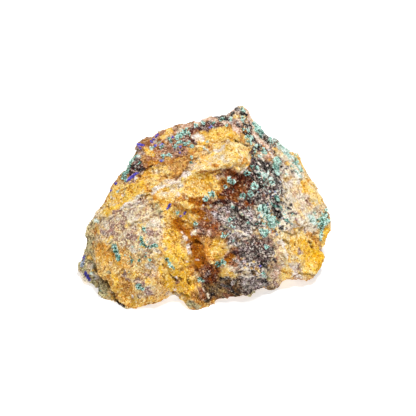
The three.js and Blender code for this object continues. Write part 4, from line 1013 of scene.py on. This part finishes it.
def inMillimetres(board):
    place = board.node("ShaderNodeTexCoord").out("Object")
    return board.node("ShaderNodeVectorMath", {"operation": "SCALE"}, {0: place, "Scale": 1 / millimetre})


def finishMaterial(board, settings):
    shader = board.node("ShaderNodeBsdfPrincipled", {}, settings)
    board.node("ShaderNodeOutputMaterial", {}, {"Surface": shader})


rockFinish = {
    "grainSize": 0.29, "wormSize": 0.5, "fineSize": 0.2, "hueSize": 0.9, "threadSize": 0.8,   # in mm
    "grainShare": 0.75, "wormShare": 1.4, "fineShare": 0.45, "threadShare": 0.5, "hueShare": 0.22,
    "roughness": 0.8, "glintsAbove": 0.93, "glint": 0.5, "bump": 0.45,
}


def makeRockMaterial():
    material, board = newMaterial("iron_stained_rock")
    place = inMillimetres(board)
    body, pale, dark = (board.attribute(name) for name in ("bodyColour", "paleColour", "darkColour"))
    grain = board.node("ShaderNodeTexVoronoi", {},
                       {"Vector": place, "Scale": 1 / rockFinish["grainSize"]}, "Color")
    split = board.node("ShaderNodeSeparateColor", {}, {0: grain})
    worm = board.noise(place, rockFinish["wormSize"], 3.0)
    fine = board.noise(place, rockFinish["fineSize"])
    thread = board.noise(place, rockFinish["threadSize"])
    hue = board.noise(place, rockFinish["hueSize"], 3.0, "Color")
    chance = 0.5 + (split - 0.5) * rockFinish["grainShare"] + (worm - 0.5) * rockFinish["wormShare"]
    paleEdge = 1 - pale.out("Alpha")
    darkEdge = dark.out("Alpha")
    colour = board.mix(board.ramp(chance - paleEdge, -0.03, 0.03) * 0.9, body, pale)
    colour = board.mix(board.ramp(darkEdge - chance, -0.03, 0.03) * 0.9, colour, dark)
    for level, other in ((0.5, pale), (0.58, dark)):     # thin threads where the noise has this level
        line = board.ramp((thread - level).size(), 0.022, 0.005)
        colour = board.mix(line * rockFinish["threadShare"], colour, other)
    colour = board.mix(board.ramp(fine, 0.5, 0.3) * rockFinish["fineShare"], colour, dark)
    colour = board.mix(rockFinish["hueShare"], colour, hue, "OVERLAY")
    height = (worm * 0.9 + fine * 0.4 + split.out("Green") * 0.25) * body.out("Alpha")
    glint = split.out("Blue") > rockFinish["glintsAbove"]
    finishMaterial(board, {
        "Base Color": colour, "Roughness": rockFinish["roughness"] - glint * rockFinish["glint"],
        "Normal": board.bump(height, rockFinish["bump"], 0.25 * millimetre), "Specular IOR Level": 0.1,
    })
    return material


fineStone.data.materials.clear()
fineStone.data.materials.append(makeRockMaterial())
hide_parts("stone")
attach(fineStone, "root")
print("rock material done")


def newTree(name, sizes):              # a tree that makes shapes, with its named inputs
    tree = bpy.data.node_groups.new(name, "GeometryNodeTree")
    for label, kind in {"Geometry": "Geometry", **sizes, "Seed": "Int", "Material": "Material"}.items():
        tree.interface.new_socket(label, in_out="INPUT", socket_type="NodeSocket" + kind)
    tree.interface.new_socket("Geometry", in_out="OUTPUT", socket_type="NodeSocketGeometry")
    board = Board(tree)
    return tree, board, board.node("NodeGroupInput")


def placeShapes(board, given, spots, shape, turn, scale):   # one on each spot, made real
    placed = board.node("GeometryNodeInstanceOnPoints", {}, {
        "Points": spots, "Instance": shape, "Rotation": turn, "Scale": scale,
    })
    real = board.node("GeometryNodeRealizeInstances", {}, {0: placed})
    dressed = board.node("GeometryNodeSetMaterial", {},
                         {"Geometry": real, "Material": given.out("Material")})
    board.node("NodeGroupOutput", {}, {0: dressed})


def crystalTree(name):                 # stands a four-sided crystal on each point, along its aim
    tree, board, given = newTree(name, {"Width": "Float", "Length": "Float", "Taper": "Float"})
    spots = board.node("GeometryNodeMeshToPoints", {}, {"Mesh": given.out("Geometry")})
    crystal = board.node("GeometryNodeMeshCone", {"fill_type": "NGON"}, {
        "Vertices": 4, "Side Segments": 1, "Fill Segments": 1,
        "Radius Bottom": given.out("Width"), "Radius Top": given.out("Width") * given.out("Taper"),
        "Depth": given.out("Length"),
    })
    place = board.node("GeometryNodeInputPosition")
    rise = board.node("ShaderNodeSeparateXYZ", {}, {0: place}, "Z")
    crystal = board.node("GeometryNodeStoreNamedAttribute", {"data_type": "FLOAT", "domain": "POINT"}, {
        "Geometry": crystal, "Name": "tip", "Value": rise / given.out("Length"),
    })
    stand = board.node("FunctionNodeAlignRotationToVector", {"axis": "Z"},
                       {"Vector": board.named("aim", "FLOAT_VECTOR")})
    roll = board.random(given.out("Seed"), 0.0, 2 * math.pi)
    spin = board.node("ShaderNodeCombineXYZ", {}, {"Z": roll})
    spin = board.node("FunctionNodeEulerToRotation", {}, {0: spin})
    turned = board.node("FunctionNodeRotateRotation", {"rotation_space": "LOCAL"}, {0: stand, 1: spin})
    stretch = board.random(given.out("Seed") + 1, (0.7, 0.7, 0.7), (1.3, 1.3, 1.3))
    scale = board.node("ShaderNodeVectorMath", {"operation": "SCALE"},
                       {0: stretch, "Scale": board.named("size")})
    placeShapes(board, given, spots, crystal, turned, scale)
    return tree


def grow(name, tree, hostMesh, values):
    piece = newPiece(name, hostMesh)
    modifier = piece.modifiers.new("grow", "NODES")
    modifier.node_group = tree
    for item in tree.interface.items_tree:
        if item.in_out == "INPUT" and item.name in values:
            modifier[item.identifier] = values[item.name]
    plainMesh(piece)
    writePoints(piece.data, readPoints(piece.data))
    return piece


def growCrystals(name, rows, values):  # one crystal for each row: its place, aim, size and tone
    points, aims, sizes, tones = zip(*rows)
    mesh = bpy.data.meshes.new(name)
    mesh.from_pydata([tuple(point * millimetre) for point in points], [], [])
    addLayer(mesh, "aim", "FLOAT_VECTOR", aims)
    addLayer(mesh, "size", "FLOAT", sizes)
    addLayer(mesh, "tone", "FLOAT", tones)
    return grow(name, crystalTree(name), mesh, values)


stoneTree = BVHTree.FromPolygons(
    [Vector(point) for point in readPoints(fineStone.data)],
    [tuple(polygon.vertices) for polygon in fineStone.data.polygons],
)


def sighted(x, up):                    # the spot of the stone that the viewer sees at x, up
    target = fromFace(x, up, face["middle"][2])
    return stoneTree.ray_cast(Vector(viewer), Vector(target - viewer).normalized())


def knobBunches(centre, normal, radius, dice):   # spots over an uneven dome, and their way out
    across = normal.orthogonal().normalized()
    along = normal.cross(across)
    reach = 0.75 + 0.35 * dice.random(8)       # the dome's eight sides reach out unevenly
    for number in range(int(tuftShape["knobBunches"] * radius ** 2) + 5):
        turn, lift = dice.random() * 2 * math.pi, dice.random()
        out = math.sqrt(1 - lift * lift)
        way = across * (math.cos(turn) * out) + along * (math.sin(turn) * out) + normal * lift
        side = reach[int(turn / math.pi * 4) % 8]
        place = centre + (across * math.cos(turn) + along * math.sin(turn)) * (out * radius * side * 0.75)
        yield place + normal * (lift * radius * 0.45 - 0.05), way, 1 - lift


def around(centre, normal, radius, dice):   # a spot of the stone near another one, and its way out
    across = normal.orthogonal().normalized()
    turn, reach = dice.random() * 2 * math.pi, radius * math.sqrt(dice.random())
    start = centre + (across * math.cos(turn) + normal.cross(across) * math.sin(turn)) * reach
    spot, ground, index, gap = stoneTree.find_nearest(start)
    return (spot, ground, reach / radius) if gap < radius else None


def hiddenSpots(mineral, dice):        # random spots of the sides out of sight where the mineral grows
    points, normals = readPoints(fineStone.data), readNormals(fineStone.data)
    density = hiddenCrystals[mineral][3]
    chosen = dice.random(len(points)) < density * hiddenShare(mineral, points, normals)
    return zip(points[chosen], normals[chosen])


grainShapes = {                        # loose grit on the pale rock, rusty granules on the dark rock
    "rock_grit": {"Share": "gritShare", "Density": 3.2, "Size": 0.26, "Seed": 11, "shape": "cube"},
    "iron_granules": {"Share": "granuleShare", "Density": 5.0, "Size": 0.2, "Seed": 12, "shape": "ball"},
}


def grainTree(name, shape):            # scatters grains over a mesh, more where its share is more
    tree, board, given = newTree(name, {"Share": "String", "Density": "Float", "Size": "Float"})
    perSquareMillimetre = 1e6
    density = board.named(given.out("Share")) * given.out("Density") * perSquareMillimetre
    spots = board.node("GeometryNodeDistributePointsOnFaces", {}, {
        "Mesh": given.out("Geometry"), "Density": density, "Seed": given.out("Seed"),
    })
    spots = board.node("GeometryNodeStoreNamedAttribute", {"data_type": "FLOAT", "domain": "POINT"}, {
        "Geometry": spots, "Name": "tone", "Value": board.random(given.out("Seed") + 3),
    })
    size = given.out("Size") * millimetre
    if shape == "cube":
        edges = board.node("ShaderNodeCombineXYZ", {}, {axis: size for axis in "XYZ"})
        grain = board.node("GeometryNodeMeshCube", {}, {"Size": edges})
    else:
        grain = board.node("GeometryNodeMeshIcoSphere", {}, {"Radius": size, "Subdivisions": 1})
    turn = board.random(given.out("Seed") + 1, (0, 0, 0), (6.3, 6.3, 6.3))
    turn = board.node("FunctionNodeEulerToRotation", {}, {0: turn})
    stretch = board.random(given.out("Seed") + 2, (0.5, 0.5, 0.5), (1.5, 1.5, 1.5))
    placeShapes(board, given, spots, grain, turn, stretch)
    return tree


grainFinish = {"roughness": 0.75, "glint": 0.4, "bump": 0.3}


def makeGrainMaterial():               # each grain is wholly pale, plain or dark
    material, board = newMaterial("loose_grains")
    place = inMillimetres(board)
    body, pale, dark = (board.attribute(name) for name in ("bodyColour", "paleColour", "darkColour"))
    tone = board.attribute("tone").out("Fac")
    fine = board.noise(place, rockFinish["fineSize"])
    colour = board.mix(board.ramp(tone, 0.45, 0.55), body, pale)
    colour = board.mix(board.ramp(tone, 0.3, 0.2) * 0.8, colour, dark)
    colour = board.mix(board.ramp(fine, 0.6, 0.3) * 0.4, colour, dark)
    roughness = grainFinish["roughness"] - board.ramp(tone, 0.9, 0.95) * grainFinish["glint"]
    finishMaterial(board, {"Base Color": colour, "Roughness": roughness,
                           "Normal": board.bump(fine, grainFinish["bump"], 0.1 * millimetre)})
    return material


grainMaterial = makeGrainMaterial()
for name, values in grainShapes.items():
    grains = grow(name, grainTree(name, values["shape"]), fineStone.data.copy(),
                  {**values, "Material": grainMaterial})
    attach(grains, "root")
    print(name + ":", len(grains.data.polygons), "faces")

tuftShape = {
    "Width": 0.09 * millimetre, "Length": 0.34 * millimetre, "Taper": 0.75, "Seed": 3,
    "diceSeed": 21, "gapSeed": 22,
    "bunches": 22, "knobBunches": 26,  # in a tuft of 1 mm
    "blades": 6, "sprinkledBlades": 4,
    "spread": 1.15,                    # how far a crust reaches, as a share of its radius
    "gaps": 0.68, "edgeGaps": 0.9,     # how rare gaps are, and how many more the edge has
    "lean": 0.55,                      # of the blades, at random
    "toneWaves": 0.75, "toneSpread": 0.34,
}
tuftTones = {                          # above nought is paler
    "leftLobe": -0.5, "brow": 0, "shoulder": 0, "middle": -0.1, "bloom": 0.5, "recess": 0.05,
    "rightEdge": 0.2, "peak": 0.3, "ridge": 0.6, "crest": 0.25, "specks": 0.25, "dull": -0.45,
}
sprinkles = [                          # single small bunches between the tufts: x, up, reach, how many
    (14.6, 30, 3.6, 16), (12.6, 37, 2.6, 10), (14.6, 21, 2.8, 40), (12.8, 42.4, 1.8, 10),
    (19, 22.6, 2.2, 8), (-6, 40.4, 3.2, 14), (1.6, 44, 2.6, 8), (28.2, 20.4, 1.4, 16), (21, 35.2, 2.4, 22),
    (-17.8, 32.6, 1.8, 9), (-13.4, 15.2, 3, 10), (-17, 11.6, 3.6, 8), (6.4, 19.4, 2.8, 8),
    (7.4, 27.6, 3.4, 5), (-10, 37.6, 2.6, 8),
]


def makeMalachite(material):
    dice, bunches = np.random.default_rng(tuftShape["diceSeed"]), []
    for place, group in tufts.items():
        for x, up, radius in group:
            spot, normal, index, gap = sighted(x, up)
            if spot is None:
                continue
            tone = tuftTones[place] + 0.15 * dice.normal()
            if place in knobPlaces:
                for where, way, low in knobBunches(spot, normal, radius, dice):
                    bunches.append((where, way, 0, tone + 0.25 * low, tuftShape["blades"]))
                continue
            for number in range(int(tuftShape["bunches"] * radius ** 2) + 4):
                found = around(spot, normal, radius * tuftShape["spread"], dice)
                if found:
                    bunches.append((*found, tone, tuftShape["blades"]))
    for x, up, reach, count in sprinkles:
        spot, normal, index, gap = sighted(x, up)
        for number in range(count):
            found = around(spot, normal, reach, dice)
            if found:
                bunches.append((found[0], found[1], 0, 0.1, tuftShape["sprinkledBlades"]))

    for spot, normal in hiddenSpots("malachite", dice):
        bunches.append((Vector(spot), Vector(normal), 0.2, 0.1, tuftShape["sprinkledBlades"]))

    # bunches are left out here and there, more towards a tuft's edge, so the dark stain under them, partly
    # painted shadow, shows between them
    spots, field = np.array([bunch[0] for bunch in bunches]), Field(tuftShape["gapSeed"])
    clumps, shades = field.waves(spots, 0.8, 2), field.waves(spots + 30, 0.5, 2)
    rows = []
    for (spot, ground, reach, tone, blades), clump, shade in zip(bunches, clumps, shades):
        size = 0.5 + 0.7 * dice.random()
        if clump < tuftShape["edgeGaps"] * reach - tuftShape["gaps"]:
            continue
        for blade in range(blades):
            upright = ground * (0.3 + dice.random())
            aim = (upright + Vector(dice.normal(size=3)) * tuftShape["lean"]).normalized()
            bladeSize = size * (0.7 + 0.5 * dice.random())
            bladeTone = tone + tuftShape["toneWaves"] * shade + tuftShape["toneSpread"] * dice.normal()
            rows.append((np.array(spot + aim * 0.05), np.array(aim), bladeSize, bladeTone))
    return growCrystals("malachite_tufts", rows, {**tuftShape, "Material": material})


malachiteFinish = {
    "deep": "12382c", "mossy": "5e9878", "middle": "68b6a2", "bright": "a8eee0", "pale": "ecfff8",
    "fineSize": 1 / 2.2, "mossSize": 1.6, "roughness": 0.6, "bump": 0.2,
}


def makeMalachiteMaterial():           # deep green at the foot of a needle, pale at its tip
    material, board = newMaterial("malachite")
    place = inMillimetres(board)
    tone = board.attribute("tone").out("Fac")
    tip = board.attribute("tip").out("Fac")
    fine = board.noise(place, malachiteFinish["fineSize"], 3.0)
    moss = board.noise(place, malachiteFinish["mossSize"])
    deep, mossy, middle, bright, pale = (
        solidColour(malachiteFinish[name]) for name in ("deep", "mossy", "middle", "bright", "pale")
    )
    middle = board.mix(board.ramp(moss, 0.4, 0.6), middle, mossy)
    colour = board.steps(tone + tip + (fine - 0.5) * 0.5, deep,
                         [(0.0, 0.4, middle), (0.35, 0.65, bright), (0.75, 1.0, pale)])
    roughness = malachiteFinish["roughness"] - board.ramp(fine, 0.5, 0.7) * 0.25
    finishMaterial(board, {"Base Color": colour, "Roughness": roughness,
                           "Normal": board.bump(fine, malachiteFinish["bump"], 0.1 * millimetre)})
    return material


malachite = makeMalachite(makeMalachiteMaterial())
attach(malachite, "root")
print("malachite:", len(malachite.data.polygons), "faces")

azuriteShape = {
    "Width": 0.13 * millimetre, "Length": 0.26 * millimetre, "Taper": 0.7, "Seed": 5,
    "diceSeed": 33,
    "crowd": 90,                       # crystals for each square mm of a line
    "spread": 0.5, "lean": 0.6,        # off the line and off upright, at random
}


def makeAzurite(material):
    dice, rows = np.random.default_rng(azuriteShape["diceSeed"]), []
    for halfWidth, brightness, line in azuriteLines:
        for (startX, startUp), (endX, endUp) in zip(line, line[1:]):
            length = math.hypot(endX - startX, endUp - startUp)
            for number in range(int(8 + azuriteShape["crowd"] * length * halfWidth)):
                share = dice.random()
                x = startX + (endX - startX) * share + dice.normal() * halfWidth * azuriteShape["spread"]
                up = startUp + (endUp - startUp) * share + dice.normal() * halfWidth * azuriteShape["spread"]
                spot, normal, index, gap = sighted(x, up)
                if spot is None:
                    continue
                aim = (normal + Vector(dice.normal(size=3) * azuriteShape["lean"])).normalized()
                size = 0.6 + 0.7 * dice.random()
                rows.append((np.array(spot), np.array(aim), size, brightness + dice.random()))
    for spot, normal in hiddenSpots("azurite", dice):
        aim = Vector(normal + dice.normal(size=3) * 0.5).normalized()
        rows.append((spot, np.array(aim), 0.6 + 0.6 * dice.random(), dice.random()))
    return growCrystals("azurite_crystals", rows, {**azuriteShape, "Material": material})


azuriteFinish = {
    "deep": "2a1f7c", "bright": "5c4acc", "pale": "aaa0f0",
    "fineSize": 1 / 3, "roughness": 0.35, "bump": 0.15,
}


def makeAzuriteMaterial():
    material, board = newMaterial("azurite")
    tone = board.attribute("tone").out("Fac")
    fine = board.noise(inMillimetres(board), azuriteFinish["fineSize"])
    deep, bright, pale = (solidColour(azuriteFinish[name]) for name in ("deep", "bright", "pale"))
    colour = board.steps(tone + (fine - 0.5) * 0.4, deep, [(0.1, 0.6, bright), (0.75, 1.1, pale)])
    finishMaterial(board, {"Base Color": colour, "Roughness": azuriteFinish["roughness"] + 0.2 * fine,
                           "Normal": board.bump(fine, azuriteFinish["bump"], 0.1 * millimetre)})
    return material


azurite = makeAzurite(makeAzuriteMaterial())
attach(azurite, "root")
print("azurite:", len(azurite.data.polygons), "faces")

studio = {
    "floorHalf": 3.0,                  # half its width, in metres
    "floorGreys": (0.62, 0.66), "cloudSize": 50,     # the floor is faintly clouded, in mm
    "floorGlow": 0.62,                 # a light table
    "sky": 0.24,
}
lamps = {                              # place, size across, watts
    "overhead": ((0.07, -0.1, 0.55), 0.1, 2.9),
    "front": ((-0.15, -0.6, 0.35), 0.5, 0.6),
}


def makeFloor():
    mesh = bpy.data.meshes.new("floor")
    half = studio["floorHalf"]
    corners = [(-half, -half, 0), (half, -half, 0), (half, half, 0), (-half, half, 0)]
    mesh.from_pydata(corners, [], [(0, 1, 2, 3)])
    floor = newPiece("floor", mesh)
    material, board = newMaterial("pale_floor")
    cloud = board.noise(inMillimetres(board), studio["cloudSize"])
    dull, bright = ((grey, grey, grey, 1) for grey in studio["floorGreys"])
    colour = board.mix(cloud, dull, bright)
    finishMaterial(board, {
        "Base Color": colour, "Roughness": 0.9, "Specular IOR Level": 0.2,
        "Emission Color": (1, 1, 1, 1), "Emission Strength": studio["floorGlow"],
    })
    mesh.materials.append(material)


def makeLight(name, place, size, power):
    data = bpy.data.lights.new(name, "AREA")
    data.shape = "DISK"
    data.size = size
    data.energy = power
    light = bpy.data.objects.new(name, data)
    light.location = place
    light.rotation_euler = (-Vector(place)).to_track_quat("-Z", "Y").to_euler()
    bpy.context.scene.collection.objects.link(light)


makeFloor()
for name, (place, size, power) in lamps.items():
    makeLight(name, place, size, power)
world = bpy.data.worlds.new("studio")
world.use_nodes = True
sky = world.node_tree.nodes["Background"]
sky.inputs["Color"].default_value = (1, 1, 1, 1)
sky.inputs["Strength"].default_value = studio["sky"]
bpy.context.scene.world = world
bpy.context.scene.view_settings.view_transform = "Standard"
print("stage set")
